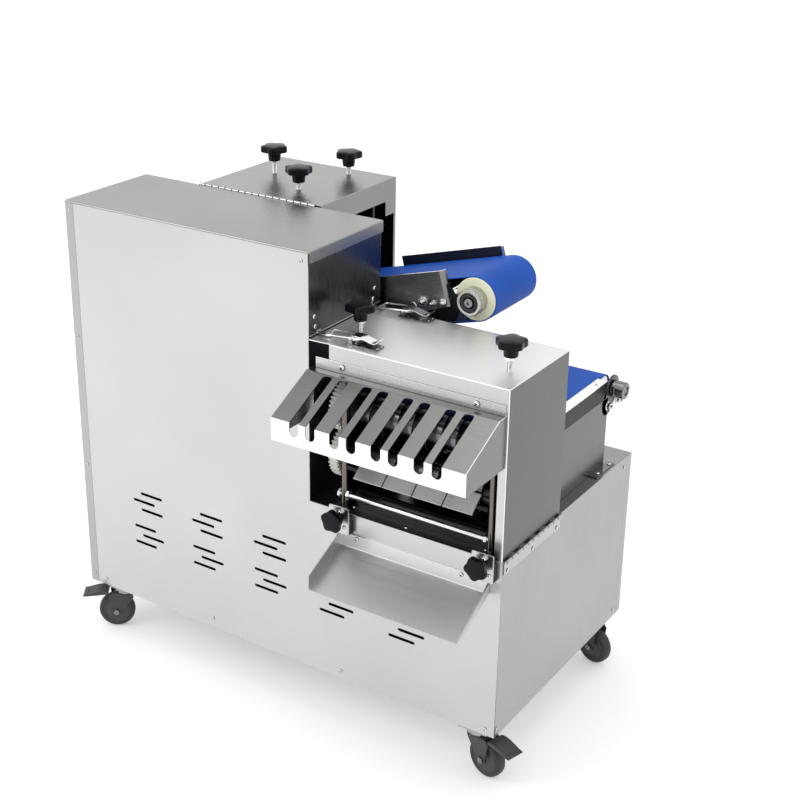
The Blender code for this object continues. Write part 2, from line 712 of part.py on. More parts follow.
def upper_hinge_leaf():
    """Fixed leaf of the upper cover's hinge, with its knuckles and the pin."""
    face = LID_BACK - SHEET / 2
    z = TOWER_HEIGHT
    leaf = box((HEAD_LEFT, face, z - HINGE_LEAF_WIDTH), (HEAD_RIGHT, LID_BACK + HINGE_LEAF, z - HINGE_RADIUS))
    parts = []
    for low, high in knuckle_spans(HEAD_LEFT, HEAD_RIGHT, moving=False):
        parts.append(rod("x", (UPPER_HINGE_Y, z), HINGE_RADIUS, low, high, 12))
        parts.append(box((low, face, z - 2 * HINGE_RADIUS), (high, LID_BACK + HINGE_LEAF, z - HINGE_RADIUS / 3)))
    parts.append(rod("x", (UPPER_HINGE_Y, z), HINGE_PIN_RADIUS, HEAD_LEFT + GAP, HEAD_RIGHT - GAP, 12))
    return united(leaf, *parts)


def upper_cover():
    """Hinged box over the upper head, open below, with an inlet on the left and an outlet on the right."""
    front = UPPER_HINGE_Y + HINGE_RADIUS + 2 * GAP
    low = TOWER_HEIGHT - HEAD_COVER_DROP
    top = TOWER_HEIGHT
    outlet = top - OUTLET_TOP
    shell = box((HEAD_LEFT, front, low), (HEAD_RIGHT, HEAD_BACK, top))
    shell = cut(
        shell,
        box((HEAD_LEFT + SHEET, 0, 0), (HEAD_RIGHT - SHEET, HEAD_BACK - SHEET, top - SHEET)),
        box((HEAD_RIGHT - 2 * SHEET, 0, 0), (FAR, HEAD_BACK - OUTLET_EDGE - OUTLET_STEP_WIDTH, outlet)),
        box((HEAD_RIGHT - 2 * SHEET, 0, 0), (FAR, HEAD_BACK - OUTLET_EDGE, outlet - OUTLET_STEP)),
        box((-FAR, 0, 0), (HEAD_LEFT + 2 * SHEET, HEAD_BACK - INLET_EDGE, top - INLET_TOP)),
        *[bore("z", (x, y), KNOB_STEM, top - 2 * SHEET, top + SHEET) for _, x, y, _ in UPPER_KNOBS],
    )
    parts = []
    for start, stop in knuckle_spans(HEAD_LEFT, HEAD_RIGHT, moving=True):
        parts.append(tube("x", (UPPER_HINGE_Y, top), HINGE_PIN_RADIUS + GAP, HINGE_RADIUS, start, stop, 12))
        parts.append(box((start, UPPER_HINGE_Y, top - SHEET), (stop, front + SHEET, top)))
    hole = bore("x", (UPPER_HINGE_Y, top), HINGE_PIN_RADIUS, -FAR, FAR)
    return cut(united(shell, *parts), hole)


def guard():
    """Sloping slotted guard with a lip and end cheeks, on a screwed strip."""
    right = CABINET_WIDTH - GUARD_END_MARGIN
    left = right - GUARD_WIDTH
    back = -GAP
    ledge = -GUARD_LEDGE
    reach = -GUARD_REACH
    lip = GUARD_TOP - GUARD_DROP
    low = lip - GUARD_LIP
    t = GUARD_SHEET
    outer = [(back, low), (back, GUARD_TOP), (ledge, GUARD_TOP), (reach, lip), (reach, low)]
    under = lip - 0.6 * t
    inner = [(FAR, 0), (FAR, GUARD_TOP - t), (ledge, GUARD_TOP - t), (reach + t, under), (reach + t, 0)]
    shell = cut(prism("x", outer, left, right), prism("x", inner, left + t, right - t))
    strip_left = right - STRIP_WIDTH
    strip = box((strip_left, STRIP_FRONT, GUARD_TOP - SHEET), (right, back, GUARD_TOP + STRIP_HEIGHT))
    shell = united(shell, strip)
    slots = []
    for pair in range(SLOT_PAIRS):
        for member in range(2):
            x = left + SLOT_FIRST_MARGIN + pair * SLOT_PAIR_PITCH + member * SLOT_PITCH
            slots.append(guard_slot(x, lip - SLOT_LIP_DEPTH, ledge - SLOT_TOP_MARGIN))
    return cut(shell, group(*slots))


def guard_slot(x, low, back):
    """One upright slot cutter with a rounded foot, from in front of the lip back to its top end."""
    half = SLOT_WIDTH / 2
    foot = [(x - half * math.cos(a), low + half - half * math.sin(a)) for a in arc(0, math.pi, 6)]
    return prism("y", [(x + half, FAR), (x - half, FAR)] + foot, -FAR, back)


def arc(start, stop, steps):
    """Angles from start to stop in equal steps, both ends included."""
    return [start + (stop - start) * i / steps for i in range(steps + 1)]


def upper_head_frame():
    """Pedestal of folded sheet with the two side plates that carry the upper cutters."""
    left = HEAD_LEFT + PEDESTAL_MARGIN
    right = HEAD_RIGHT - PEDESTAL_MARGIN
    front = HEAD_INNER_FRONT - HEAD_PLATE
    back = HEAD_BACK - PEDESTAL_MARGIN
    low = CABINET_HEIGHT + GAP
    top = TOWER_HEIGHT - HEAD_COVER_DROP - PEDESTAL_MARGIN
    shell = box((left, front, low), (right, back, top))
    shell = cut(
        shell,
        box((left + SHEET, front + SHEET, 0), (right - SHEET, back - SHEET, FAR)),
        box((right - 2 * SHEET, front + SHEET, PEDESTAL_NOTCH_Z), (FAR, HEAD_INNER_BACK, FAR)),
    )
    plate_left = left + HEAD_PLATE_INSET
    plate_right = right - HEAD_PLATE_INSET
    front_plate = box((plate_left, front, low), (plate_right, HEAD_INNER_FRONT, HEAD_PLATE_TOP))
    back_plate = box(
        (left + SHEET / 2, HEAD_INNER_BACK, low),
        (right - SHEET / 2, HEAD_INNER_BACK + HEAD_PLATE, top),
    )
    raised = box(
        (plate_left, HEAD_INNER_BACK, low), (plate_right, HEAD_INNER_BACK + HEAD_PLATE, HEAD_PLATE_TOP)
    )
    bores = [
        bore("y", (HEAD_SHAFT_X, z), SHAFT_RADIUS, 0, HEAD_INNER_BACK + 2 * HEAD_PLATE)
        for z in (UPPER_CUTTER_Z, UPPER_CUTTER_TOP_Z)
    ]
    return cut(united(shell, front_plate, back_plate, raised), *bores)


def outfeed_point(back, rise):
    """A place on the tilted outfeed belt: back along it from the end roller, and rise across it."""
    x = OUTFEED_END_X - back * math.cos(OUTFEED_TILT) - rise * math.sin(OUTFEED_TILT)
    z = OUTFEED_END_Z - back * math.sin(OUTFEED_TILT) + rise * math.cos(OUTFEED_TILT)
    return (x, z)


def belt_loop(axis, first, second, inner, outer, start, stop, sides=9):
    """A belt round two equal rollers at first and second; its bends have flat sides that clear the rollers."""
    heading = math.atan2(second[1] - first[1], second[0] - first[0])
    half = math.pi / sides / 2
    loops = []
    for radius in (inner, outer):
        corner = radius / math.cos(half)
        bend = arc(half - math.pi / 2, math.pi / 2 - half, sides - 1)
        loop = [(second, heading + a) for a in bend] + [(first, heading + math.pi + a) for a in bend]
        loops.append([(c[0] + corner * math.cos(a), c[1] + corner * math.sin(a)) for c, a in loop])
    rings = []
    for along, loop in ((start, loops[0]), (start, loops[1]), (stop, loops[1]), (stop, loops[0])):
        rings.append([lift(axis, along, u, v) for u, v in loop])
    return loft(rings, closed=True)


def outfeed_frame():
    """Both side plates of the outfeed belt, the rods between them, and the end roller's bearings."""
    rise = OUTFEED_ROLLER_RADIUS + BELT_THICKNESS + OUTFEED_RAIL
    back_u = OUTFEED_LENGTH + OUTFEED_SHAFT_RADIUS * 2
    outline = [
        (OUTFEED_FRONT_END, rise),
        (OUTFEED_FRONT_END, -0.25 * OUTFEED_PLATE_DROP),
        (OUTFEED_LENGTH * 0.75, -OUTFEED_PLATE_DROP),
        (back_u, -OUTFEED_PLATE_DROP),
        (back_u, rise),
    ]
    front_in = OUTFEED_FRONT - OUTFEED_PLATE_GAP
    front_out = front_in - OUTFEED_PLATE
    back_in = OUTFEED_BACK + OUTFEED_BACK_GAP
    back_out = back_in + OUTFEED_PLATE
    front_plate = prism("y", [outfeed_point(u, w) for u, w in outline], front_out, front_in)
    back_outline = [(OUTFEED_BACK_END, w) for _, w in outline[:2]] + outline[2:]
    back_plate = prism("y", [outfeed_point(u, w) for u, w in back_outline], back_in, back_out)
    parts = [back_plate, lead_plate()]
    for share in (0.35, 0.75):
        place_at = outfeed_point(OUTFEED_LENGTH * share, 0)
        parts.append(rod("y", place_at, OUTFEED_SHAFT_RADIUS, front_in - GAP, back_in + GAP, 12))
    centre = (OUTFEED_END_X, OUTFEED_END_Z)
    bearing_front = OUTFEED_FRONT - GAP - BEARING_REACH
    bearing_back = OUTFEED_BACK + GAP + BEARING_REACH * 0.6
    parts.append(rod("y", centre, BEARING_RADIUS, bearing_front, OUTFEED_FRONT - GAP, ROUND))
    parts.append(rod("y", centre, BEARING_RADIUS, OUTFEED_BACK + GAP, bearing_back, ROUND))
    half = OUTFEED_SHAFT_RADIUS
    arm = [(0, -half), (0, half), (OUTFEED_FRONT_END + half, half), (OUTFEED_FRONT_END + half, -half / 2)]
    arm = [outfeed_point(u, w) for u, w in arm]
    parts.append(prism("y", arm, front_in - GAP, OUTFEED_FRONT - OUTFEED_PLATE_GAP / 2))
    parts.append(prism("y", arm, back_out - GAP, bearing_back))
    shaft = bore("y", centre, OUTFEED_SHAFT_RADIUS, 0, FAR)
    tail = bore("y", outfeed_point(OUTFEED_LENGTH, 0), OUTFEED_SHAFT_RADIUS, 0, FAR)
    return cut(united(front_plate, *parts), shaft, tail)


def outfeed_roller(back, front_reach, back_reach):
    """Nylon roller on its steel shaft, across the outfeed belt."""
    r = OUTFEED_ROLLER_RADIUS
    s = OUTFEED_SHAFT_RADIUS
    profile = [
        (s, OUTFEED_FRONT - front_reach),
        (s, OUTFEED_FRONT),
        (r, OUTFEED_FRONT),
        (r, OUTFEED_BACK),
        (s, OUTFEED_BACK),
        (s, OUTFEED_BACK + back_reach),
    ]
    return turned("y", outfeed_point(back, 0), profile)


def toothed_disc(axis, centre, teeth, start, stop, phase):
    """Spur gear blank with straight-flanked teeth."""
    tip = GEAR_PITCH_RADIUS + GEAR_ADDENDUM
    root = GEAR_PITCH_RADIUS - GEAR_DEDENDUM
    pitch = 2 * math.pi / teeth
    loop = []
    for tooth in range(teeth):
        middle = phase + tooth * pitch
        for radius, share in ((root, -0.34), (tip, -0.13), (tip, 0.13), (root, 0.34)):
            angle = middle + share * pitch
            loop.append((centre[0] + radius * math.cos(angle), centre[1] + radius * math.sin(angle)))
    return prism(axis, loop, start, stop)


def spur_gear(axis, centre, teeth, start, stop, phase):
    """Spur gear with a bore for the cutter shaft."""
    hole = bore(axis, centre, SHAFT_RADIUS, start - SHEET, stop + SHEET)
    return cut(toothed_disc(axis, centre, teeth, start, stop, phase), hole)


def cutter(axis, centre, shaft, first_blade, blades, pitch, collar):
    """Cutter shaft with its round blades and spacers; collar is where the spacers start and end."""
    s = SHAFT_RADIUS
    r = SPACER_RADIUS
    profile = [(s, shaft[0]), (s, collar[0]), (r, collar[0])]
    for k in range(blades):
        face = first_blade + k * pitch
        edge = BLADE_THICKNESS / 2
        profile += [(r, face - edge), (BLADE_RADIUS, face - edge), (BLADE_RADIUS, face + edge), (r, face + edge)]
    profile += [(r, collar[1]), (s, collar[1]), (s, shaft[1])]
    return turned(axis, centre, profile, COARSE)


def lower_head_frame():
    """Two side plates with cross bars that carry the lower cutters."""
    low = CABINET_HEIGHT + GAP
    left = LOWER_HEAD_LEFT
    right = LOWER_HEAD_RIGHT
    plates = []
    for start in (left - LOWER_PLATE, right):
        plates.append(box((start, LOWER_PLATE_FRONT, low), (start + LOWER_PLATE, LOWER_PLATE_BACK, LOWER_PLATE_TOP)))
    bar_back = FRONT_BAR_Y + FRONT_BAR_THICKNESS
    front_bar = box((left - SHEET, FRONT_BAR_Y, low), (right + SHEET, bar_back, low + FRONT_BAR_HEIGHT))
    back_bar = box(
        (left - SHEET, LOWER_PLATE_BACK - 3 * SHEET, low),
        (right + SHEET, LOWER_PLATE_BACK - SHEET, low + FRONT_BAR_HEIGHT),
    )
    bores = [
        bore("x", (LOWER_CUTTER_Y, z), SHAFT_RADIUS, 0, FAR) for z in (LOWER_CUTTER_Z, LOWER_CUTTER_TOP_Z)
    ]
    bores.append(bore("x", feed_roller_centre(FEED_FRONT_Y), FEED_SHAFT_RADIUS, 0, FAR))
    return cut(united(plates[0], plates[1], front_bar, back_bar, feed_plate()), *bores)


def comb_bar():
    """Centre of the bar under the front combs, across the comb's own slope."""
    along = 0.5 * COMB_LENGTH
    below = COMB_BAR_RADIUS - COMB_THICKNESS / 2
    y = along * math.cos(COMB_SLOPE) + below * math.sin(COMB_SLOPE)
    z = COMB_FRONT_Z + along * math.sin(COMB_SLOPE) - below * math.cos(COMB_SLOPE)
    return (y, z)


def comb_rack():
    """Four sloping combs side by side on the bar that carries them."""
    c = math.cos(COMB_SLOPE)
    s = math.sin(COMB_SLOPE)
    t = COMB_THICKNESS
    back = (COMB_LENGTH * c, COMB_FRONT_Z + COMB_LENGTH * s)
    outline = [(0, COMB_FRONT_Z), back, (back[0] - t * s, back[1] + t * c), (-t * s, COMB_FRONT_Z + t * c)]
    plates = []
    pitch = COMB_WIDTH + COMB_SPLIT
    first = LOWER_HEAD_LEFT + COMB_SIDE + COMB_SPLIT / 2
    for k in range(COMB_COUNT):
        left = first + k * pitch
        plates.append(prism("x", outline, left, left + COMB_WIDTH))
    bar_left = GUIDE_LEFT_X + GUIDE_ROD_RADIUS + GAP
    bar_right = GUIDE_RIGHT_X - GUIDE_ROD_RADIUS - GAP
    bar = rod("x", comb_bar(), COMB_BAR_RADIUS, bar_left, bar_right, 12)
    return united(bar, *plates)


def feed_plate():
    """Sloping plate between the feed belt and the lower cutters, welded between the side plates."""
    t = COMB_THICKNESS
    y_high, z_high = FEED_FRONT_Y - FEED_ROLLER_RADIUS - SHEET, FEED_BELT_TOP - 3 * SHEET
    y_low = LOWER_CUTTER_Y + BLADE_RADIUS - SHEET
    z_low = LOWER_CUTTER_Z + GEAR_PITCH_RADIUS + 5 * SHEET
    feed = [(y_low, z_low), (y_high, z_high), (y_high, z_high + t), (y_low, z_low + t)]
    return prism("x", feed, LOWER_HEAD_LEFT - SHEET, LOWER_HEAD_RIGHT + SHEET)


def lead_plate():
    """Sloping plate between the upper cutters and the outfeed belt, welded between its side plates."""
    t = COMB_THICKNESS
    x_high = HEAD_SHAFT_X + BLADE_RADIUS + 4 * SHEET
    z_top = UPPER_CUTTER_Z + GEAR_PITCH_RADIUS - 3 * SHEET
    x_low, z_bottom = outfeed_point(OUTFEED_LENGTH, OUTFEED_ROLLER_RADIUS + BELT_THICKNESS + SHEET)
    lead = [(x_high, z_top), (x_low, z_bottom), (x_low, z_bottom + t), (x_high, z_top + t)]
    front_edge = OUTFEED_FRONT - OUTFEED_PLATE_GAP - SHEET
    return prism("y", lead, front_edge, OUTFEED_BACK + OUTFEED_BACK_GAP + SHEET)


def guide_rods():
    """Two upright rods in front of the lower side plates, joined by the tie rod."""
    low = CABINET_HEIGHT + GAP
    return united(
        rod("z", (GUIDE_LEFT_X, TIE_ROD_Y), GUIDE_ROD_RADIUS, low, GUIDE_ROD_TOP, 12),
        rod("z", (GUIDE_RIGHT_X, TIE_ROD_Y), GUIDE_ROD_RADIUS, low, GUIDE_ROD_TOP, 12),
        rod("x", (TIE_ROD_Y, TIE_ROD_Z), TIE_ROD_RADIUS, GUIDE_LEFT_X, GUIDE_RIGHT_X, 12),
    )


def chute():
    """Sloping discharge chute with a side wall, a tapered lip and a back flange on the front panel."""
    t = SHEET
    back = -GAP
    front = back - CHUTE_REACH
    high = CHUTE_BACK_Z
    low = high - CHUTE_FALL
    slope = CHUTE_FALL / CHUTE_REACH
    outer = [(back, high - t), (front, low - t), (front, low + CHUTE_WALL), (back, high + CHUTE_WALL)]
    inside = back - t
    inner = [
        (inside, high - slope * t),
        (front - t, low - slope * t),
        (front - t, low + 2 * CHUTE_WALL),
        (inside, high + 2 * CHUTE_WALL),
    ]
    shell = prism("x", outer, CHUTE_LEFT, CHUTE_RIGHT)
    start = back - 2 * t
    taper = [
        (start, high + CHUTE_WALL - 2 * t),
        (front - t, low + CHUTE_LOW_WALL),
        (front - t, low + 3 * CHUTE_WALL),
        (start, high + 3 * CHUTE_WALL),
    ]
    return cut(
        shell,
        prism("x", inner, CHUTE_LEFT + t, CHUTE_RIGHT - t),
        prism("x", taper, CHUTE_RIGHT - 2 * t, CHUTE_RIGHT + t),
    )


def clamp(x):
    """Bracket plate on its standoff block, with the threaded hole of its knob."""
    half = CLAMP_WIDTH / 2
    face = -GAP - CLAMP_STANDOFF
    outline = [
        (face - CLAMP_PLATE, CLAMP_BOTTOM),
        (-GAP, CLAMP_BOTTOM),
        (-GAP, CABINET_HEIGHT),
        (face, CABINET_HEIGHT),
        (face, CLAMP_TOP),
        (face - CLAMP_PLATE, CLAMP_TOP),
    ]
    hole = bore("y", (x, CLAMP_KNOB_Z), KNOB_STEM * CLAMP_KNOB_SCALE, -FAR, face + CLAMP_STANDOFF / 2)
    return cut(prism("x", outline, x - half, x + half), hole)


def star_knob(stem, below, scale=1.0):
    """Star knob standing on its seat at the origin, with its stud below; stem is the height up to the hub."""
    steps = KNOB_LOBES * 3

    def ring(radius, notch, z):
        points = []
        for k in range(steps):
            angle = 2 * math.pi * k / steps
            r = (radius - notch * (1 - math.cos(KNOB_LOBES * angle)) / 2) * scale
            points.append((r * math.cos(angle), r * math.sin(angle), z))
        return points

    hub = stem + KNOB_HUB_HEIGHT * scale
    top = hub + KNOB_CAP * scale
    return loft(
        [
            ring(KNOB_STEM, 0, -below),
            ring(KNOB_STEM, 0, stem),
            ring(KNOB_HUB * 0.9, 0, stem),
            ring(KNOB_HUB, 0, hub),
            ring(KNOB_RADIUS, KNOB_NOTCH, hub),
            ring(KNOB_RADIUS, KNOB_NOTCH, hub + 0.6 * KNOB_CAP * scale),
            ring(KNOB_RADIUS * 0.82, KNOB_NOTCH * 0.6, top),
        ]
    )


def latch_base(y):
    """Base plate of a draw latch, with two ears for the lever's pin."""
    z = COVER_TOP + GAP
    half = LATCH_BASE_WIDTH / 2
    start = LATCH_PIVOT_X - 4 * LATCH_PIN_RADIUS
    plate = box((start, y - half, z), (start + LATCH_BASE_LENGTH, y + half, z + LATCH_SHEET))
    top = z + LATCH_PIVOT_RISE + 2 * LATCH_PIN_RADIUS
    reach = 2 * LATCH_PIN_RADIUS
    ears = [
        box((LATCH_PIVOT_X - reach, side, z), (LATCH_PIVOT_X + reach, side + LATCH_SHEET, top))
        for side in (y - EAR_OUTER, y + EAR_INNER)
    ]
    hole = bore("y", (LATCH_PIVOT_X, z + LATCH_PIVOT_RISE), LATCH_PIN_RADIUS, 0, FAR, 10)
    return cut(united(plate, *ears), hole)


def latch_lever(y):
    """Lever of a draw latch: a folded plate on its pin, with a curled finger end."""
    z = COVER_TOP + GAP + LATCH_PIVOT_RISE
    half = LATCH_LEVER_WIDTH / 2
    x = LATCH_PIVOT_X
    end = x + LATCH_LEVER_LENGTH
    t = LATCH_SHEET
    pin = LATCH_PIN_RADIUS
    top = z + BAIL_RISE + pin + t
    outline = [
        (x - pin, z - pin),
        (x + pin, z - pin),
        (x + BAIL_OFFSET + 2 * pin, z),
        (end - 3 * pin, z - pin),
        (end, z + pin),
        (end + 2 * pin, top),
        (end, top + t),
        (end - 4 * pin, z + pin + t),
        (x + BAIL_OFFSET, top),
        (x - pin, z + pin + t),
    ]
    lever = prism("y", outline, y - half, y + half)
    inner = half - t
    pocket = box((x - FAR, y - inner, z - FAR), (x + BAIL_OFFSET + 3 * pin, y + inner, z + BAIL_RISE + pin))
    pivot = rod("y", (x, z), pin, y - EAR_OUTER, y + EAR_OUTER, 10)
    hole = bore("y", (x + BAIL_OFFSET, z + BAIL_RISE), BAIL_WIRE, y - 2 * half, y + 2 * half, 10)
    return united(cut(lever, pocket, hole), pivot)


def latch_bail(y):
    """Wire bail: a pin through the lever, two arms, and the crossbar behind the keeper's lip."""
    z = COVER_TOP + GAP + LATCH_PIVOT_RISE + BAIL_RISE
    pin_x = LATCH_PIVOT_X + BAIL_OFFSET
    end_z = bail_end_z()
    w = BAIL_WIRE
    half = BAIL_ARM
    rise = math.atan2(end_z - z, BAIL_END_X - pin_x)
    dx, dz = -w * math.sin(rise), w * math.cos(rise)
    outline = [
        (pin_x + dx, z + dz),
        (pin_x - dx, z - dz),
        (BAIL_END_X - dx, end_z - dz),
        (BAIL_END_X + dx, end_z + dz),
    ]
    bars = [prism("y", outline, y + side * half - w, y + side * half + w) for side in (-1, 1)]
    pin = rod("y", (pin_x, z), w, y - half - w, y + half + w, 10)
    crossbar = rod("y", (BAIL_END_X, end_z), w, y - half - w, y + half + w, 10)
    return united(bars[0], bars[1], pin, crossbar)


def bail_end_z():
    """Height of the bail's crossbar, low enough to pass the lever's ears with its arms."""
    return COVER_TOP + GAP + LATCH_PIVOT_RISE - 2 * GAP


def latch_keeper(y):
    """Keeper on the tower wall: a shelf under the bail's crossbar and a low lip in front of it."""
    z = bail_end_z()
    half = KEEPER_WIDTH / 2
    wall = TOWER_WIDTH - SHEET / 2
    shelf = z - BAIL_WIRE - KEEPER_DROP
    lip = BAIL_END_X + BAIL_WIRE + KEEPER_LIP_GAP
    t = LATCH_SHEET
    outline = [
        (wall, shelf - t),
        (lip + t, shelf - t),
        (lip + t, z),
        (lip, z),
        (lip, shelf),
        (TOWER_WIDTH + t, shelf),
        (TOWER_WIDTH + t, z + 4 * KEEPER_DROP),
        (wall, z + 4 * KEEPER_DROP),
    ]
    return prism("y", outline, y - half, y + half)


def feed_roller_centre(y):
    """Centre of a roller of the lower feed belt."""
    return (y, FEED_BELT_TOP - BELT_THICKNESS - FEED_ROLLER_RADIUS)


def feed_roller(y, left_end, right_end, hub):
    """Steel roller of the lower feed belt; hub is how far a thicker end stands out on each side."""
    r = FEED_ROLLER_RADIUS
    s = FEED_SHAFT_RADIUS
    inset = FEED_BELT_LEFT + ROLLER_MARGIN
    outset = FEED_BELT_RIGHT - ROLLER_MARGIN
    profile = [(s, left_end), (s, inset), (r, inset), (r, outset), (s, outset), (s, right_end)]
    if hub:
        profile = [(FEED_HUB_RADIUS, left_end - hub), (FEED_HUB_RADIUS, left_end)] + profile
        profile += [(FEED_HUB_RADIUS, right_end), (FEED_HUB_RADIUS, right_end + hub)]
    return turned("x", feed_roller_centre(y), profile, COARSE)


def feed_frame():
    """Feed belt's stand, both side rails with the back roller's take-up plates, and the bed under the belt."""
    top = FEED_BELT_TOP + GAP + RAIL_SHEET / 2
    outer_right = FEED_BELT_RIGHT - ROLLER_MARGIN + RAIL_FLANGE + RAIL_SHEET
    outer_left = FEED_BELT_LEFT + ROLLER_MARGIN - RAIL_FLANGE - RAIL_SHEET
    rails = []
    centre = feed_roller_centre(FEED_BACK_Y)
    low_centre = (FEED_BACK_Y - TAKE_UP_SETBACK, centre[1] - TAKE_UP_DROP)
    plate = [(c[0] + TAKE_UP_RADIUS * math.cos(a), c[1] + TAKE_UP_RADIUS * math.sin(a))
             for c, a in [(centre, b) for b in arc(-TAKE_UP_TURN, math.pi - TAKE_UP_TURN, 6)]
             + [(low_centre, b) for b in arc(math.pi - TAKE_UP_TURN, 2 * math.pi - TAKE_UP_TURN, 6)]]
    for outer, inward in ((outer_left, 1), (outer_right, -1)):
        inner = outer + inward * RAIL_SHEET
        tip = inner + inward * RAIL_FLANGE
        thin = top - RAIL_SHEET / 2
        outline = [(outer, RAIL_BOTTOM), (inner, RAIL_BOTTOM), (inner, thin), (tip, thin), (tip, top), (outer, top)]
        rail = prism("y", outline, RAIL_FRONT, RAIL_BACK)
        low, high = sorted((outer, inner))
        end_plate = prism("x", plate, low, high)
        hole = bore("x", centre, FEED_SHAFT_RADIUS, low - SHEET, high + SHEET)
        rails.append(cut(united(rail, end_plate), hole))
    under = FEED_BELT_TOP - BELT_THICKNESS - GAP
    bed = box((outer_left + SHEET, RAIL_FRONT, under - SHEET), (outer_right - SHEET, RAIL_BACK - SHEET, under))
    return united(rails[0], rails[1], bed, feed_stand())


def feed_stand():
    """Open box of folded sheet that carries the feed belt's rails on the cabinet."""
    left = FEED_BELT_LEFT + ROLLER_MARGIN - RAIL_FLANGE - RAIL_SHEET
    right = FEED_BELT_RIGHT - ROLLER_MARGIN + RAIL_FLANGE + RAIL_SHEET
    low = CABINET_HEIGHT + GAP
    outer = box((left, STAND_FRONT, low), (right, STAND_BACK, RAIL_BOTTOM + SHEET))
    inner = box((left + SHEET, STAND_FRONT + SHEET, 0), (right - SHEET, STAND_BACK - SHEET, FAR))
    return_run = feed_roller_centre(0)[1] - FEED_ROLLER_RADIUS - BELT_THICKNESS
    return cut(outer, inner, box((left + SHEET, 0, return_run - 2 * SHEET), (right - SHEET, FAR, FAR)))


def infeed_tray():
    """Sloping tray that leads meat slices into the upper cutters from the left."""
    t = SHEET
    rise = (INFEED_RIGHT - INFEED_LEFT) * math.tan(INFEED_SLOPE)
    high = INFEED_LOW + rise
    outer = [
        (INFEED_LEFT, high - t),
        (INFEED_RIGHT, INFEED_LOW - t),
        (INFEED_RIGHT, INFEED_LOW + INFEED_WALL),
        (INFEED_LEFT, high + INFEED_WALL),
    ]
    over = rise * t / (INFEED_RIGHT - INFEED_LEFT)
    inner = [
        (INFEED_LEFT - t, high + over),
        (INFEED_RIGHT + t, INFEED_LOW - over),
        (INFEED_RIGHT + t, INFEED_LOW + 2 * INFEED_WALL),
        (INFEED_LEFT - t, high + 2 * INFEED_WALL),
    ]
    front = HEAD_INNER_FRONT + GAP
    back = HEAD_INNER_BACK - GAP
    return cut(prism("y", outer, front, back), prism("y", inner, front + t, back - t))


def gear_motor(axis, centre, face, foot):
    """Gearbox with a motor behind it, on a bolted stand; face is where its output shaft leaves it."""
    half = GEARBOX_WIDTH / 2
    back = face - GEARBOX_LENGTH
    u, v = centre
    outline = [(u - half, foot), (u + half, foot), (u + half, v + GEARBOX_RISE), (u - half, v + GEARBOX_RISE)]
    gearbox = prism(axis, outline, back, face)
    motor = rod(axis, centre, MOTOR_RADIUS, back - MOTOR_LENGTH, back + SHEET)
    hole = bore(axis, centre, COUPLING_RADIUS, face - GEARBOX_LENGTH / 2, face + SHEET)
    return cut(united(gearbox, motor), hole)


def caster_fork(x, y):
    """Fork with its axle bolt, trailing along +X from the swivel axis at (x, y)."""
    top = -CASTER_PLATE_THICKNESS - CASTER_RACE_HEIGHT - GAP
    low = top - FORK_CROWN
    inner = WHEEL_WIDTH / 2 + 2 * FORK_LEG / 2
    outer = inner + FORK_LEG
    half = FORK_LEG_WIDTH / 2
    axle = x + CASTER_TRAIL
    crown = rod("z", (x, y), CASTER_RACE_RADIUS, low, top)
    crown_bar = box((x - half, y - outer, low), (axle, y + outer, top))
    leg = [
        (x - half, top),
        (x - half, low - FORK_LEG_WIDTH / 3),
        (axle - AXLE_HEAD, AXLE_Z),
        (axle - AXLE_HEAD / 2, AXLE_Z - AXLE_HEAD),
        (axle + AXLE_HEAD / 2, AXLE_Z - AXLE_HEAD),
        (axle + AXLE_HEAD, AXLE_Z),
        (axle + half, low),
        (axle + half / 2, top),
    ]
    legs = [prism("y", leg, y - outer, y - inner), prism("y", leg, y + inner, y + outer)]
    axle_rod = rod("y", (axle, AXLE_Z), AXLE_RADIUS, y - outer - AXLE_RADIUS, y + outer + AXLE_RADIUS, 12)
    heads = [
        rod("y", (axle, AXLE_Z), AXLE_HEAD, y - outer - AXLE_RADIUS, y - outer + GAP, 6),
        rod("y", (axle, AXLE_Z), AXLE_HEAD, y + outer - GAP, y + outer + AXLE_RADIUS, 6),
    ]
    return united(crown, crown_bar, *legs, axle_rod, *heads)


def caster_wheel(x, y):
    """Wheel with rounded tread and a bore on the axle bolt."""
    half = WHEEL_WIDTH / 2
    hole = AXLE_RADIUS + GAP
    r = WHEEL_RADIUS
    profile = [(hole, y - half), (r * 0.86, y - half), (r, y - half / 2), (r, y + half / 2),
               (r * 0.86, y + half), (hole, y + half)]
    return turned("y", (x + CASTER_TRAIL, AXLE_Z), profile, 16, bored=True)


def caster_pedal(x, y):
    """Foot pedal of the wheel brake, pivoting at the back of the fork."""
    top = -CASTER_PLATE_THICKNESS - CASTER_RACE_HEIGHT - GAP
    half = PEDAL_WIDTH / 2
    start = x + PEDAL_START
    end = x + PEDAL_REACH
    outline = [
        (start, top - FORK_CROWN),
        (end, top - 2 * FORK_CROWN),
        (end, top - FORK_CROWN),
        (start + FORK_LEG_WIDTH / 2, top + FORK_CROWN / 2),
        (start, top),
    ]
    return prism("y", outline, y - half, y + half)


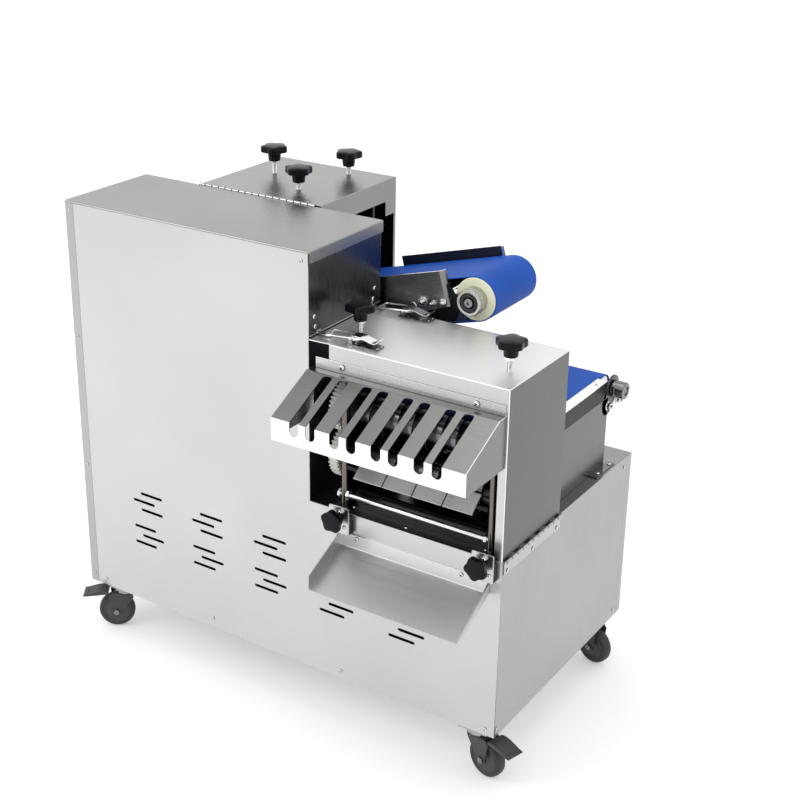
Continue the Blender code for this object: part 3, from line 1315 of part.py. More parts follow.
def build_cabinet():
    place("front_panel", front_panel(), BRUSHED)
    place("left_panel", left_panel(), BRUSHED)
    right_face = box(
        (CABINET_WIDTH - SHEET, DECK_EDGE, 0),
        (CABINET_WIDTH, CABINET_DEPTH - BACK_RETURN - GAP, CABINET_HEIGHT),
    )
    place("right_panel", right_face, BRUSHED)
    place("back_panel", back_panel(), BRUSHED)
    deck = box(
        (DECK_EDGE, DECK_EDGE, CABINET_HEIGHT - SHEET),
        (CABINET_WIDTH - DECK_EDGE, CABINET_DEPTH - DECK_EDGE, CABINET_HEIGHT),
    )
    place("base_deck", deck, BRUSHED)
    place("base_floor", base_floor(), BRUSHED)
    place("tower_wrap", tower_wrap(), BRUSHED)
    place("tower_lid", tower_lid(), BRUSHED)


def build_upper_head():
    place("upper_head_frame", upper_head_frame(), BRUSHED)
    place("infeed_tray", infeed_tray(), BRUSHED)
    hinge = (HEAD_LEFT, UPPER_HINGE_Y, TOWER_HEIGHT)
    place("upper_cover", upper_cover(), BRUSHED, hinge)
    for name, x, y, stem in UPPER_KNOBS:
        knob = star_knob(stem, KNOB_STEM_BELOW)
        knob.transform(Matrix.Translation((x, y, TOWER_HEIGHT)))
        place(name, knob, BLACK_PLASTIC, (x, y, TOWER_HEIGHT), smooth=True)
    front = OUTFEED_FRONT - OUTFEED_PLATE_GAP
    back = HEAD_INNER_BACK
    span = (UPPER_BLADES - 1) * BLADE_PITCH
    first = (front + back - span) / 2
    shaft_end = HEAD_INNER_BACK + 2 * HEAD_PLATE
    collar = (HEAD_INNER_FRONT + SHEET, HEAD_INNER_BACK - SHEET)
    face = UPPER_GEAR_Y
    for name, z, offset, start in (
        ("upper_cutter_bottom", UPPER_CUTTER_Z, 0.0, UPPER_MOTOR_FACE + GAP),
        ("upper_cutter_top", UPPER_CUTTER_TOP_Z, 0.25, UPPER_GEAR_Y - SHEET),
    ):
        centre = (HEAD_SHAFT_X, z)
        shift = offset * BLADE_PITCH
        shaft = cutter("y", centre, (start, shaft_end), first + shift, UPPER_BLADES, BLADE_PITCH, collar)
        phase = math.pi / 2 if z == UPPER_CUTTER_Z else -math.pi / 2 + math.pi / UPPER_GEAR_TEETH
        gear = toothed_disc("y", centre, UPPER_GEAR_TEETH, face, face + GEAR_WIDTH, phase)
        place(name, united(shaft, gear), POLISHED, (HEAD_SHAFT_X, face, z))


def build_outfeed():
    place("outfeed_frame", outfeed_frame(), DARK_STEEL)
    radius = OUTFEED_ROLLER_RADIUS + GAP
    first = outfeed_point(0, 0)
    second = outfeed_point(OUTFEED_LENGTH, 0)
    low = OUTFEED_FRONT + ROLLER_MARGIN
    high = OUTFEED_BACK - ROLLER_MARGIN
    belt = belt_loop("y", first, second, radius, radius + BELT_THICKNESS, low, high)
    place("outfeed_belt", belt, BLUE_BELT)
    front_reach = OUTFEED_PLATE_GAP + OUTFEED_PLATE
    roller = outfeed_roller(0, BEARING_REACH + SHEET, OUTFEED_BACK_GAP + OUTFEED_PLATE)
    place("outfeed_end_roller", roller, CREAM_NYLON, (first[0], OUTFEED_FRONT, first[1]), smooth=True)
    tail = outfeed_roller(OUTFEED_LENGTH, front_reach, OUTFEED_BACK_GAP + OUTFEED_PLATE)
    place("outfeed_tail_roller", tail, CREAM_NYLON, (second[0], OUTFEED_FRONT, second[1]), smooth=True)


def build_feed():
    place("feed_frame", feed_frame(), BRUSHED)
    radius = FEED_ROLLER_RADIUS + GAP
    first = feed_roller_centre(FEED_FRONT_Y)
    second = feed_roller_centre(FEED_BACK_Y)
    outer = FEED_ROLLER_RADIUS + BELT_THICKNESS
    belt = belt_loop("x", first, second, radius, outer, FEED_BELT_LEFT, FEED_BELT_RIGHT, 8)
    place("feed_belt", belt, BLUE_BELT)
    plate = LOWER_PLATE / 2
    front = feed_roller(FEED_FRONT_Y, LOWER_HEAD_LEFT - plate, LOWER_HEAD_RIGHT + plate, 0)
    place("feed_front_roller", front, POLISHED, (LOWER_HEAD_LEFT, *first), smooth=True)
    reach = RAIL_FLANGE + RAIL_SHEET - ROLLER_MARGIN + GAP
    back = feed_roller(FEED_BACK_Y, FEED_BELT_LEFT - reach, FEED_BELT_RIGHT + reach, FEED_HUB_REACH)
    place("feed_back_roller", back, POLISHED, (LOWER_HEAD_LEFT, *second), smooth=True)


def build_lower_head():
    place("lower_head_frame", lower_head_frame(), DARK_STEEL)
    place("guide_rods", guide_rods(), POLISHED, smooth=True)
    place("comb_rack", comb_rack(), BRUSHED)
    pitch = (LOWER_HEAD_RIGHT - LOWER_HEAD_LEFT) / (LOWER_BLADES + 1)
    first = LOWER_HEAD_LEFT + pitch
    collar = (LOWER_HEAD_LEFT + SHEET, LOWER_HEAD_RIGHT - SHEET)
    shaft_end = LOWER_HEAD_RIGHT + LOWER_PLATE + SHEET
    face = LOWER_GEAR_X
    for name, z, offset, start in (
        ("bottom", LOWER_CUTTER_Z, 0.0, LOWER_MOTOR_FACE + GAP),
        ("top", LOWER_CUTTER_TOP_Z, 0.25, LOWER_GEAR_X - SHEET),
    ):
        centre = (LOWER_CUTTER_Y, z)
        shaft = cutter("x", centre, (start, shaft_end), first + offset * pitch, LOWER_BLADES, pitch, collar)
        place("lower_cutter_" + name, shaft, POLISHED, (face, *centre))
        phase = math.pi / 2 if z == LOWER_CUTTER_Z else -math.pi / 2 + math.pi / LOWER_GEAR_TEETH
        gear = spur_gear("x", centre, LOWER_GEAR_TEETH, face, face + GEAR_WIDTH, phase)
        place("lower_gear_" + name, gear, WHITE_NYLON, (face, *centre))
    place("discharge_chute", chute(), BRUSHED)
    seat = -GAP - CLAMP_STANDOFF - CLAMP_PLATE
    for side, x in (("left", CLAMP_LEFT_X), ("right", CLAMP_RIGHT_X)):
        place("clamp_" + side, clamp(x), BRUSHED)
        knob = star_knob(SHEET, CLAMP_PLATE + CLAMP_STANDOFF / 3, CLAMP_KNOB_SCALE)
        knob.transform(Matrix.Translation((x, seat, CLAMP_KNOB_Z)) @ Matrix.Rotation(math.pi / 2, 4, "X"))
        place("clamp_knob_" + side, knob, BLACK_PLASTIC, (x, seat, CLAMP_KNOB_Z), smooth=True)


def build_lower_cover():
    hinge = (LOWER_HINGE_X, 0, CABINET_HEIGHT)
    place("lower_cover", lower_cover(), BRUSHED, hinge)
    place("slotted_guard", guard(), BRUSHED, hinge)
    place("lower_hinge_leaf", lower_hinge_leaf(), POLISHED)
    for name, x, y, stem in LOWER_KNOBS:
        knob = star_knob(stem, KNOB_STEM_BELOW)
        knob.transform(Matrix.Translation((x, y, COVER_TOP)))
        place(name, knob, BLACK_PLASTIC, (x, y, COVER_TOP), smooth=True)
    z = COVER_TOP + GAP + LATCH_PIVOT_RISE
    for name, y in (("front", LATCH_FRONT_Y), ("back", LATCH_BACK_Y)):
        place("latch_base_" + name, latch_base(y), POLISHED, hinge)
        place("latch_lever_" + name, latch_lever(y), POLISHED, (LATCH_PIVOT_X, y, z))
        pivot = (LATCH_PIVOT_X + BAIL_OFFSET, y, z + BAIL_RISE)
        place("latch_bail_" + name, latch_bail(y), POLISHED, pivot)


def build_drives():
    foot = CABINET_HEIGHT + GAP
    upper = gear_motor("y", (HEAD_SHAFT_X, UPPER_CUTTER_Z), UPPER_MOTOR_FACE, foot)
    place("upper_gear_motor", upper, MOTOR_PAINT)
    lower = gear_motor("x", (LOWER_CUTTER_Y, LOWER_CUTTER_Z), LOWER_MOTOR_FACE, foot)
    place("lower_gear_motor", lower, MOTOR_PAINT)
    r = SWITCH_RADIUS
    s = SWITCH_STEM
    face = -GAP
    end = face - SWITCH_REACH
    profile = [(s, 4 * SHEET), (s, face), (r, face), (r, (face + end) / 2), (0.8 * r, end)]
    switch = turned("x", (SWITCH_Y, SWITCH_Z), profile)
    place("main_switch", switch, BLACK_PLASTIC, (0, SWITCH_Y, SWITCH_Z), smooth=True)


def build_casters():
    for name, x, y, swivel, braked in caster_places():
        axis = (x, y, 0)
        pieces = [("caster_fork_", caster_fork(x, y), BLACK_PAINT), ("caster_wheel_", caster_wheel(x, y), BLACK_RUBBER)]
        if braked:
            pieces.append(("brake_pedal_", caster_pedal(x, y), BLACK_PLASTIC))
        for prefix, mesh, finish in pieces:
            turned_about(mesh, "Z", swivel, axis)
            reach = {"caster_wheel_": CASTER_TRAIL, "brake_pedal_": PEDAL_PIVOT}.get(prefix, 0)
            height = {"caster_wheel_": AXLE_Z, "brake_pedal_": PEDAL_PIVOT_Z}
            pivot = (x + reach * math.cos(swivel), y + reach * math.sin(swivel), height.get(prefix, 0))
            place(prefix + name, mesh, finish, pivot, smooth=prefix == "caster_wheel_")


def centre_on_floor():
    """Moves the machine so that its bounding box stands centred on the world's origin."""
    bpy.context.view_layer.update()
    corners = []
    for made in bpy.data.objects:
        if made.type == "MESH":
            corners += [made.matrix_world @ Vector(corner) for corner in made.bound_box]
    low = [min(corner[i] for corner in corners) for i in range(3)]
    high = [max(corner[i] for corner in corners) for i in range(3)]
    machine.location = (-(low[0] + high[0]) / 2, -(low[1] + high[1]) / 2, -low[2])
    bpy.context.view_layer.update()


build_cabinet()
build_upper_head()
build_outfeed()
build_feed()
build_lower_head()
build_lower_cover()
build_drives()
build_casters()
centre_on_floor()
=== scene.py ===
import math

import bmesh
import bpy
from mathutils import Matrix, Vector


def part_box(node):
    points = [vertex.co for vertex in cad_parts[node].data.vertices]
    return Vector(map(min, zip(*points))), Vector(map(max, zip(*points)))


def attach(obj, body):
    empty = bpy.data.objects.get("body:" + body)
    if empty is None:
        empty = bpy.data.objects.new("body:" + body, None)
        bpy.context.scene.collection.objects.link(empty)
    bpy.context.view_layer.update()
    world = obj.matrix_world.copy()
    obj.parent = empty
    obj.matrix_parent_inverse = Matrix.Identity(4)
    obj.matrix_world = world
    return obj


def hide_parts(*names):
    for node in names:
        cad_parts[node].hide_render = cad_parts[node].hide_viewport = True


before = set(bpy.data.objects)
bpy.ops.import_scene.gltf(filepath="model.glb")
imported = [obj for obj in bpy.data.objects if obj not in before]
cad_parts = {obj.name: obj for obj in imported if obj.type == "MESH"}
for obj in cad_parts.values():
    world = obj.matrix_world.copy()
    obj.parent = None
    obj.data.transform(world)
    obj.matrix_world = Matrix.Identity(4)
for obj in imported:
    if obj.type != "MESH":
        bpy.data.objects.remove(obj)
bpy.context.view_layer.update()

# Front sheet: 2 mm stainless, brushed and rolled to a satin sheen, in one L-shaped piece over cabinet
# and tower, with its air slots punched in staggered rows. Every place in this file is in metres from
# the cabinet's lower front left corner: X to the right, Y to the back, Z up.
CABINET_WIDTH = 0.960
CABINET_DEPTH = 0.518
CABINET_HEIGHT = 0.351
TOWER_WIDTH = 0.566
TOWER_DEPTH = 0.228
TOWER_TOP = 0.8215
SHEET = 0.002
GAP = 0.0003
SEAM = 0.0203
LID_GAP = 0.0023
PUNCHED_EDGE = 0.0004

panel_low, panel_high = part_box("front_panel")
corner = Vector((panel_high[0] - CABINET_WIDTH, panel_low[1], panel_low[2]))


def node(tree, kind, inputs=(), **settings):
    """A shader node; an input takes a number or another node's output."""
    made = tree.nodes.new("ShaderNode" + kind)
    for key, value in settings.items():
        setattr(made, key, value)
    for key, value in dict(inputs).items():
        if isinstance(value, bpy.types.NodeSocket):
            tree.links.new(value, made.inputs[key])
        else:
            made.inputs[key].default_value = value
    return made


def finish(name, **sockets):
    """A material with a Principled shader and its tree."""
    made = bpy.data.materials.new(name)
    made.use_nodes = True
    shader = made.node_tree.nodes["Principled BSDF"]
    for key, value in sockets.items():
        shader.inputs[key.replace("_", " ")].default_value = value
    return made, made.node_tree, shader


def grain(tree, stretch, detail=3.0):
    """Noise in the piece's own space, drawn out along the axis with the smallest stretch."""
    place = node(tree, "TexCoord")
    mapped = node(tree, "Mapping", {"Vector": place.outputs["Object"], "Scale": stretch})
    return node(tree, "TexNoise", {"Vector": mapped.outputs["Vector"], "Scale": 1.0, "Detail": detail})


def ramp(tree, factor, low, high, start=0.3, end=0.7):
    """Maps a factor between start and end to two numbers or two colours."""
    if isinstance(low, tuple):
        made = node(tree, "ValToRGB", {"Fac": factor})
        made.color_ramp.elements[0].position = start
        made.color_ramp.elements[1].position = end
        made.color_ramp.elements[0].color = (*low, 1)
        made.color_ramp.elements[1].color = (*high, 1)
        return made.outputs["Color"]
    made = node(tree, "MapRange", {"Value": factor, "From Min": start, "From Max": end, "To Min": low,
                                   "To Max": high})
    return made.outputs["Result"]


def patterned(parts, tone, spread, clouds, rough, height, depth, distance):
    """Joins patterns of colour, roughness and bump to a shader."""
    made, tree, shader = parts
    dark = tuple(c * (1 - spread) for c in tone)
    light = tuple(min(c * (1 + spread), 1) for c in tone)
    bump = node(tree, "Bump", {"Height": height, "Strength": depth, "Distance": distance})
    tree.links.new(ramp(tree, clouds, dark, light), shader.inputs["Base Color"])
    tree.links.new(rough, shader.inputs["Roughness"])
    tree.links.new(bump.outputs["Normal"], shader.inputs["Normal"])
    return made


def brushed(name, tone, rough, stretch, spread=0.05, depth=0.05):
    """Stainless sheet: fine scratches along the grain, and broad faint clouds from polishing and handling."""
    parts = finish(name, Metallic=1.0)
    tree = parts[1]
    lines = grain(tree, stretch).outputs["Fac"]
    clouds = grain(tree, (3.1, 3.1, 2.3), 2.0).outputs["Fac"]
    both = node(tree, "Math", {0: lines, 1: clouds}, operation="ADD").outputs[0]
    worn = ramp(tree, both, rough * 0.8, rough * 1.25, 0.7, 1.3)
    return patterned(parts, tone, spread, clouds, worn, lines, depth, 0.0004)


def fit(name, data, surface, body, *nodes):
    """A new piece in the machine's place, riding on a body and standing for solids of the frame."""
    made = bpy.data.objects.new(name, data)
    made.location = corner
    bpy.context.scene.collection.objects.link(made)
    data.materials.append(surface)
    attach(made, body)
    if nodes:
        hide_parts(*nodes)
    return made


def outline_of(curve, points):
    """Adds a closed straight-sided outline to a flat curve."""
    spline = curve.splines.new("POLY")
    spline.points.add(len(points) - 1)
    for slot, (u, v) in zip(spline.points, points):
        slot.co = (u, v, 0, 1)
    spline.use_cyclic_u = True


def arc(centre, radius, start, stop, steps):
    """Points of an arc in a plane, ends included, with angles in degrees."""
    angles = [math.radians(start + (stop - start) * i / steps) for i in range(steps + 1)]
    return [(centre[0] + radius * math.cos(a), centre[1] + radius * math.sin(a)) for a in angles]


# Front faces take the stainless toned lightest, as painted light; the other faces' copies of it are toned
# darker as painted shade.
upright_sheet = brushed("upright_sheet", (0.58, 0.58, 0.57), 0.27, (1500, 1500, 9))
front = bpy.data.curves.new("front_sheet", "CURVE")
front.dimensions = "2D"
front.fill_mode = "BOTH"
front.extrude = SHEET / 2 - PUNCHED_EDGE
front.bevel_depth = PUNCHED_EDGE
front.bevel_resolution = 2
edge = PUNCHED_EDGE
step, top = CABINET_HEIGHT - edge, TOWER_TOP - LID_GAP - edge
outline_of(front, [
    (SEAM + edge, edge), (CABINET_WIDTH - edge, edge), (CABINET_WIDTH - edge, step),
    (TOWER_WIDTH - edge, step),
    (TOWER_WIDTH - edge, top), (SEAM + edge, top),
])
VENT_FIRST = 0.132
VENT_PITCH = 0.1515
VENT_LENGTH = 0.0555
VENT_HALF = 0.0029
VENT_STAGGER = 0.020
VENT_ROW = 0.018
for column in range(5):
    for base, shifted in ((0.133, (1,)), (0.209, (0, 2))):
        for row in range(3):
            x = VENT_FIRST + column * VENT_PITCH + (VENT_STAGGER if row in shifted else 0)
            z = base + row * VENT_ROW
            r = VENT_HALF + PUNCHED_EDGE
            right_end = arc((x + VENT_LENGTH - VENT_HALF, z), r, -90, 90, 6)
            outline_of(front, right_end + arc((x + VENT_HALF, z), r, 90, 270, 6))
front_sheet = fit("front_sheet", front, upright_sheet, "machine", "front_panel")
front_sheet.rotation_euler = (math.pi / 2, 0, 0)
front_sheet.location = corner + Vector((0, SHEET / 2, 0))


# Sides, back, deck and floor of the cabinet: 2 mm stainless, bent round the edges and screwed to the
# frame. The caster plates are welded under the floor.
def soften(made, width, segments=3, angle=35):
    """Smooth shading that leaves flat faces flat, with a small round on each sharp edge."""
    made.data.shade_smooth()
    made.data.set_sharp_from_angle(angle=math.radians(angle))
    if width:
        bevel = made.modifiers.new("round", "BEVEL")
        bevel.width = width
        bevel.segments = segments
        bevel.limit_method = "ANGLE"
        bevel.angle_limit = math.radians(angle)
    flat = made.modifiers.new("flat", "WEIGHTED_NORMAL")
    flat.keep_sharp = True
    return made


def dress(name, surface, width=0.0007, segments=3):
    """A solid of the frame keeps its shape and gets its surface and rounded edges."""
    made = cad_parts[name]
    made.data.materials.clear()
    made.data.materials.append(surface)
    return soften(made, width, segments)


# The same stainless in copies toned darker by facing, as painted shade: level faces darkest, right and back
# faces next, the left face least.
painted_shade_level_sheet = brushed("painted_shade_level_sheet", (0.365, 0.365, 0.36), 0.27, (9, 1500, 1500), 0.12)
painted_shade_side_sheet = brushed("painted_shade_side_sheet", (0.40, 0.40, 0.393), 0.28, (1500, 1500, 9), 0.09)
painted_shade_left_sheet = brushed("painted_shade_left_sheet", (0.43, 0.43, 0.422), 0.28, (1500, 1500, 9))
dress("left_panel", painted_shade_left_sheet, 0.0008)
dress("right_panel", painted_shade_side_sheet, 0.0008)
dress("back_panel", painted_shade_side_sheet, 0.0008)
for name in ("base_deck", "base_floor"):
    dress(name, painted_shade_level_sheet, 0.0009)


# Screws of the sheets: stainless pan heads 7 mm across with a cross recess, each left by the driver at
# its own angle; recess and rim take a near-black finish as painted shade. Those of one face are one piece.
FACES = {
    "front": ((1, 0, 0), (0, 0, 1), (0, -1, 0)),
    "back": ((-1, 0, 0), (0, 0, 1), (0, 1, 0)),
    "right": ((0, 1, 0), (0, 0, 1), (1, 0, 0)),
    "left": ((0, -1, 0), (0, 0, 1), (-1, 0, 0)),
    "top": ((1, 0, 0), (0, 1, 0), (0, 0, 1)),
    "under": ((1, 0, 0), (0, -1, 0), (0, 0, -1)),
}


def on_face(face, place, u, v, rise):
    """A point beside a place on a face: u and v along the face, rise out of it."""
    across, up, out = (Vector(axis) for axis in FACES[face])
    return Vector(place) + u * across + v * up + rise * out


def skin(shape, loops, joined=False):
    """Adds a solid skinned over rings of equally many points; its ends are capped, or joined up."""
    rows = [[shape.verts.new(point) for point in loop] for loop in loops]
    if joined:
        rows.append(rows[0])
    for low, high in zip(rows, rows[1:]):
        for i in range(len(low)):
            j = (i + 1) % len(low)
            shape.faces.new((low[i], low[j], high[j], high[i]))
    if not joined:
        shape.faces.new(rows[0])
        shape.faces.new(rows[-1])


def piece(name, shape, surface, body, *nodes, width=0.0003, segments=2, angle=35):
    """Turns built-up solids into one piece of the machine."""
    bmesh.ops.recalc_face_normals(shape, faces=shape.faces)
    data = bpy.data.meshes.new(name)
    shape.to_mesh(data)
    shape.free()
    return soften(fit(name, data, surface, body, *nodes), width, segments, angle)


def circle(count):
    """Angles evenly round a circle."""
    return [2 * math.pi * i / count for i in range(count)]


def pan_heads(name, body, face, places, radius=0.0035):
    """Screw heads with a cross recess: rings of radius, rise and depth of the cross at that radius."""
    shape = bmesh.new()
    for k, place in enumerate(places):
        twist = 1.7 * k + 0.4
        loops = []
        for share, rise, depth in (
            (1.0, -0.15, 0), (1.0, 0.22, 0), (0.93, 0.40, 0), (0.76, 0.56, 0), (0.62, 0.63, 0),
            (0.56, 0.65, 0.0), (0.50, 0.66, 0.38), (0.30, 0.67, 0.45), (0.16, 0.67, 0.46),
            (0.04, 0.67, 0.46),
        ):
            loop = []
            for angle in circle(32):
                arm = 1.0 if abs(math.cos(2 * angle)) > 0.9 or share < 0.17 else 0.0
                u, v = share * radius * math.cos(angle + twist), share * radius * math.sin(angle + twist)
                loop.append(on_face(face, place, u, v, radius * (rise - depth * arm)))
            loops.append(loop)
        first = len(shape.faces)
        skin(shape, loops)
        shape.faces.ensure_lookup_table()
        for face_made in shape.faces[first:]:
            off = (face_made.calc_center_median() - Vector(place)) / radius
            rise = off.dot(Vector(FACES[face][2]))
            away = (off - rise * Vector(FACES[face][2])).length
            # Faces of the recess and of the rim take the near-black finish: painted shade.
            if rise < 0.15 or (rise < 0.55 and away < 0.6):
                face_made.material_index = 1
    made = piece(name, shape, screw_steel, body, width=0)
    made.data.materials.append(screw_shade)
    return made


screw_steel = brushed("screw_steel", (0.80, 0.80, 0.80), 0.16, (90, 90, 90), 0.06, 0.02)
screw_shade = brushed("screw_shade", (0.035, 0.035, 0.037), 0.45, (90, 90, 90), 0.10, 0.02)
pan_heads("front_sheet_screws", "machine", "front", [
    (0.328, 0, 0.020), (0.635, 0, 0.015), (0.942, 0, 0.0124), (0.552, 0, 0.803), (0.042, 0, 0.0135),
])
pan_heads("corner_strip_screws", "machine", "front", [
    (0.0095, 0, 0.547), (0.0095, 0, 0.270), (0.0095, 0, 0.018), (0.0095, 0, 0.8036),
], 0.0028)
pan_heads("right_sheet_screws", "machine", "right", [
    (CABINET_WIDTH, 0.0084, 0.0154), (CABINET_WIDTH, 0.486, 0.0154), (CABINET_WIDTH, 0.486, 0.332),
])
pan_heads("left_sheet_screws", "machine", "left", [
    (0, y, z) for y, z in ((0.030, 0.020), (0.480, 0.020), (0.480, 0.331), (0.030, 0.420), (0.210, 0.420),
                           (0.210, 0.790))
])
pan_heads("back_sheet_screws", "machine", "back", [
    (x, CABINET_DEPTH, z) for x in (0.030, 0.330, 0.630, 0.930) for z in (0.020, 0.331)
])

# Tower walls: one folded sheet round the back and right, toned dark as painted shade. The right wall
# stops above the gear space, where a plate closes the tower, painted black as the shade of the gear space.
WALL_END = 0.667
WALL_LEFT = SHEET + GAP
AXIS_ORDER = {
    "x": lambda along, u, v: (along, u, v),
    "y": lambda along, u, v: (u, along, v),
    "z": lambda along, u, v: (u, v, along),
}


def plane(axis, along, *places):
    """Corners of a flat panel that lies across an axis."""
    return [AXIS_ORDER[axis](along, u, v) for u, v in places]



def block(shape, low, high):
    """Adds a closed box between two corners."""
    loops = []
    for z in (low[2], high[2]):
        loops.append([(low[0], low[1], z), (high[0], low[1], z), (high[0], high[1], z),
                      (low[0], high[1], z)])
    skin(shape, loops)


def folded(name, panels, surface, body, *nodes, thickness=SHEET, bend=0.0025, faces=()):
    """Folded sheet: flat panels that share edges, with rounded bends, thickened inwards. A face that looks
    in one of the directions takes the finish given with it, a lighter or darker copy that paints light or
    shade by facing."""
    shape = bmesh.new()
    made = {}
    for panel in panels:
        corners = []
        for point in panel:
            key = tuple(round(c, 6) for c in point)
            if key not in made:
                made[key] = shape.verts.new(point)
            corners.append(made[key])
        shape.faces.new(corners)
    bmesh.ops.recalc_face_normals(shape, faces=shape.faces)
    centre = sum((v.co for v in shape.verts), Vector()) / len(shape.verts)
    outward = sum((f.calc_center_median() - centre).dot(f.normal) * f.calc_area() for f in shape.faces)
    if outward < 0:
        bmesh.ops.reverse_faces(shape, faces=shape.faces)
    bends = [e for e in shape.edges if len(e.link_faces) == 2 and e.calc_face_angle() > 0.2]
    if bends:
        bmesh.ops.bevel(shape, geom=bends, offset=bend, segments=4, profile=0.5, affect="EDGES")
    data = bpy.data.meshes.new(name)
    shape.to_mesh(data)
    shape.free()
    sheet = fit(name, data, surface, body, *nodes)
    for direction, other in faces:
        data.materials.append(other)
        for face in data.polygons:
            if face.normal.dot(Vector(direction)) > 0.9:
                face.material_index = len(data.materials) - 1
    solid = sheet.modifiers.new("sheet", "SOLIDIFY")
    solid.thickness = thickness
    solid.offset = -1
    solid.use_even_offset = True
    return soften(sheet, 0.0003, 2)


painted_shade_dark_sheet = brushed("painted_shade_dark_sheet", (0.125, 0.125, 0.131), 0.27, (1500, 1500, 9), 0.08, 0.015)
painted_shade_fold_side = brushed("painted_shade_fold_side", (0.30, 0.30, 0.298), 0.36, (9, 1500, 1500), 0.08, 0.02)
# Black paint on most parts; on the plate over the gear space it is painted shade.
black_coat_and_painted_shade = brushed("black_coat_and_painted_shade", (0.030, 0.030, 0.032), 0.38, (300, 300, 300), 0.2)
low = CABINET_HEIGHT + GAP
top = TOWER_TOP - LID_GAP
inner = TOWER_WIDTH - SHEET
folded("tower_walls", [
    plane("y", TOWER_DEPTH, (WALL_LEFT, low), (inner, low), (inner, WALL_END), (TOWER_WIDTH, WALL_END),
          (TOWER_WIDTH, top), (WALL_LEFT, top)),
    plane("x", TOWER_WIDTH, (TOWER_DEPTH, WALL_END), (WALL_LEFT, WALL_END), (WALL_LEFT, top),
          (TOWER_DEPTH, top)),
], painted_shade_dark_sheet, "machine", "tower_wrap")
SHAFT_RADIUS = 0.0125
LOWER_SHAFT_Y = 0.076
LOWER_SHAFT_Z = 0.431


def slab(shape, axis, outline, start, stop):
    """Adds an outline across an axis, extruded from start to stop."""
    order = AXIS_ORDER[axis]
    skin(shape, [[order(a, u, v) for u, v in outline] for a in (start, stop)])


def keyed(outline, hole, near):
    """An outline joined to a hole in it by a narrow cut, from the outline's corner numbered near."""
    return outline[:near + 1] + hole + [hole[0]] + outline[near:]


gear_wall = bmesh.new()
wall_corners = [(TOWER_DEPTH - SHEET, low), (TOWER_DEPTH - SHEET, WALL_END), (WALL_LEFT, WALL_END),
                (WALL_LEFT, low)]
shaft_hole = arc((LOWER_SHAFT_Y, LOWER_SHAFT_Z), SHAFT_RADIUS + SHEET, 225, -135, 28)[:-1]
slab(gear_wall, "x", keyed(wall_corners, shaft_hole, 3), TOWER_WIDTH - 2 * SHEET, TOWER_WIDTH - SHEET)
piece("gear_space_painted_shade", gear_wall, black_coat_and_painted_shade, "machine", width=0)
pan_heads("tower_wall_screws", "machine", "right", [
    (TOWER_WIDTH, y, z) for y, z in ((0.0165, 0.701), (0.019, 0.682), (0.205, 0.699), (0.2007, 0.680))
], 0.0042)
# A thin strip of the lightest front-toned sheet at the wall's lower edge: a painted highlight of the bend.
wall_edge = bmesh.new()
block(wall_edge, (TOWER_WIDTH - SHEET, WALL_LEFT + 0.002, WALL_END - 0.0004),
      (TOWER_WIDTH + 0.0008, TOWER_DEPTH - 0.002, WALL_END + 0.0016))
piece("tower_wall_painted_highlight", wall_edge, upright_sheet, "machine", width=0.0006, segments=3)


# Lid of the tower: one shallow cap of 2 mm sheet with a folded edge on three sides. Its side flange
# laps over the right wall, and the front corner is left open by the width of the fold.
LID_REACH = SHEET + GAP
LID_FLANGE = 0.022
LID_FRONT_FLANGE = 0.0040
LID_BACK = TOWER_DEPTH + GAP + SHEET
CORNER_NOTCH = 0.0035
left, right = -LID_REACH, TOWER_WIDTH + LID_REACH
front_edge = -0.0006
low = TOWER_TOP - LID_FLANGE
lip = TOWER_TOP - LID_FRONT_FLANGE
side = [(front_edge, TOWER_TOP), (front_edge, lip), (CORNER_NOTCH, lip), (CORNER_NOTCH, low),
        (LID_BACK, low),
        (LID_BACK, TOWER_TOP)]
# The lid's right-facing faces take a darker copy of the sheet, as painted shade.
folded("tower_lid_sheet", [
    plane("z", TOWER_TOP, (left, front_edge), (right, front_edge), (right, LID_BACK), (left, LID_BACK)),
    plane("y", front_edge, (left, TOWER_TOP), (right, TOWER_TOP), (right, lip), (left, lip)),
    plane("x", right, *side),
    plane("x", left, *side),
], painted_shade_level_sheet, "machine", "tower_lid", faces=(((1, 0, 0), painted_shade_fold_side),))

# Piano hinge of the hood: a thin leaf on the lid's back edge, and rolled knuckles on a 4 mm pin that
# belong in turn to the leaf and to the hood.
HEAD_LEFT = 0.135
HEAD_RIGHT = 0.424
HEAD_BACK = 0.500
HINGE_RADIUS = 0.004
HINGE_PIN = 0.002
KNUCKLE = 0.0033
KNUCKLE_GAP = 0.0011
UPPER_HINGE_END = HEAD_RIGHT - 0.009
UPPER_HINGE_Y = LID_BACK + GAP + HINGE_RADIUS
UPPER_KNUCKLES = 17


def spin(shape, axis, centre, profile, steps=32, joined=False):
    """Adds a turned solid: a profile of (radius, place along the axis) spun about an axis through a centre."""
    order = AXIS_ORDER[axis]
    skin(shape, [
        [order(along, centre[0] + r * math.cos(a), centre[1] + r * math.sin(a)) for a in circle(steps)]
        for r, along in profile
    ], joined)


def knuckles(name, axis, centre, start, stop, count, moving, surface, body, leaf):
    """Every second knuckle of a piano hinge, each with the strip of leaf that it is rolled from."""
    shape = bmesh.new()
    pitch = (stop - start) / count
    for k in range(count):
        if (k % 2 == 1) == moving:
            first, last = start + k * pitch + KNUCKLE_GAP, start + (k + 1) * pitch - KNUCKLE_GAP
            inner, outer = HINGE_PIN + GAP, KNUCKLE
            spin(shape, axis, centre, [(inner, first), (outer, first), (outer, last), (inner, last)], 20,
                 True)
            slab(shape, axis, leaf, first, last)
    return piece(name, shape, surface, body, width=0.0002)


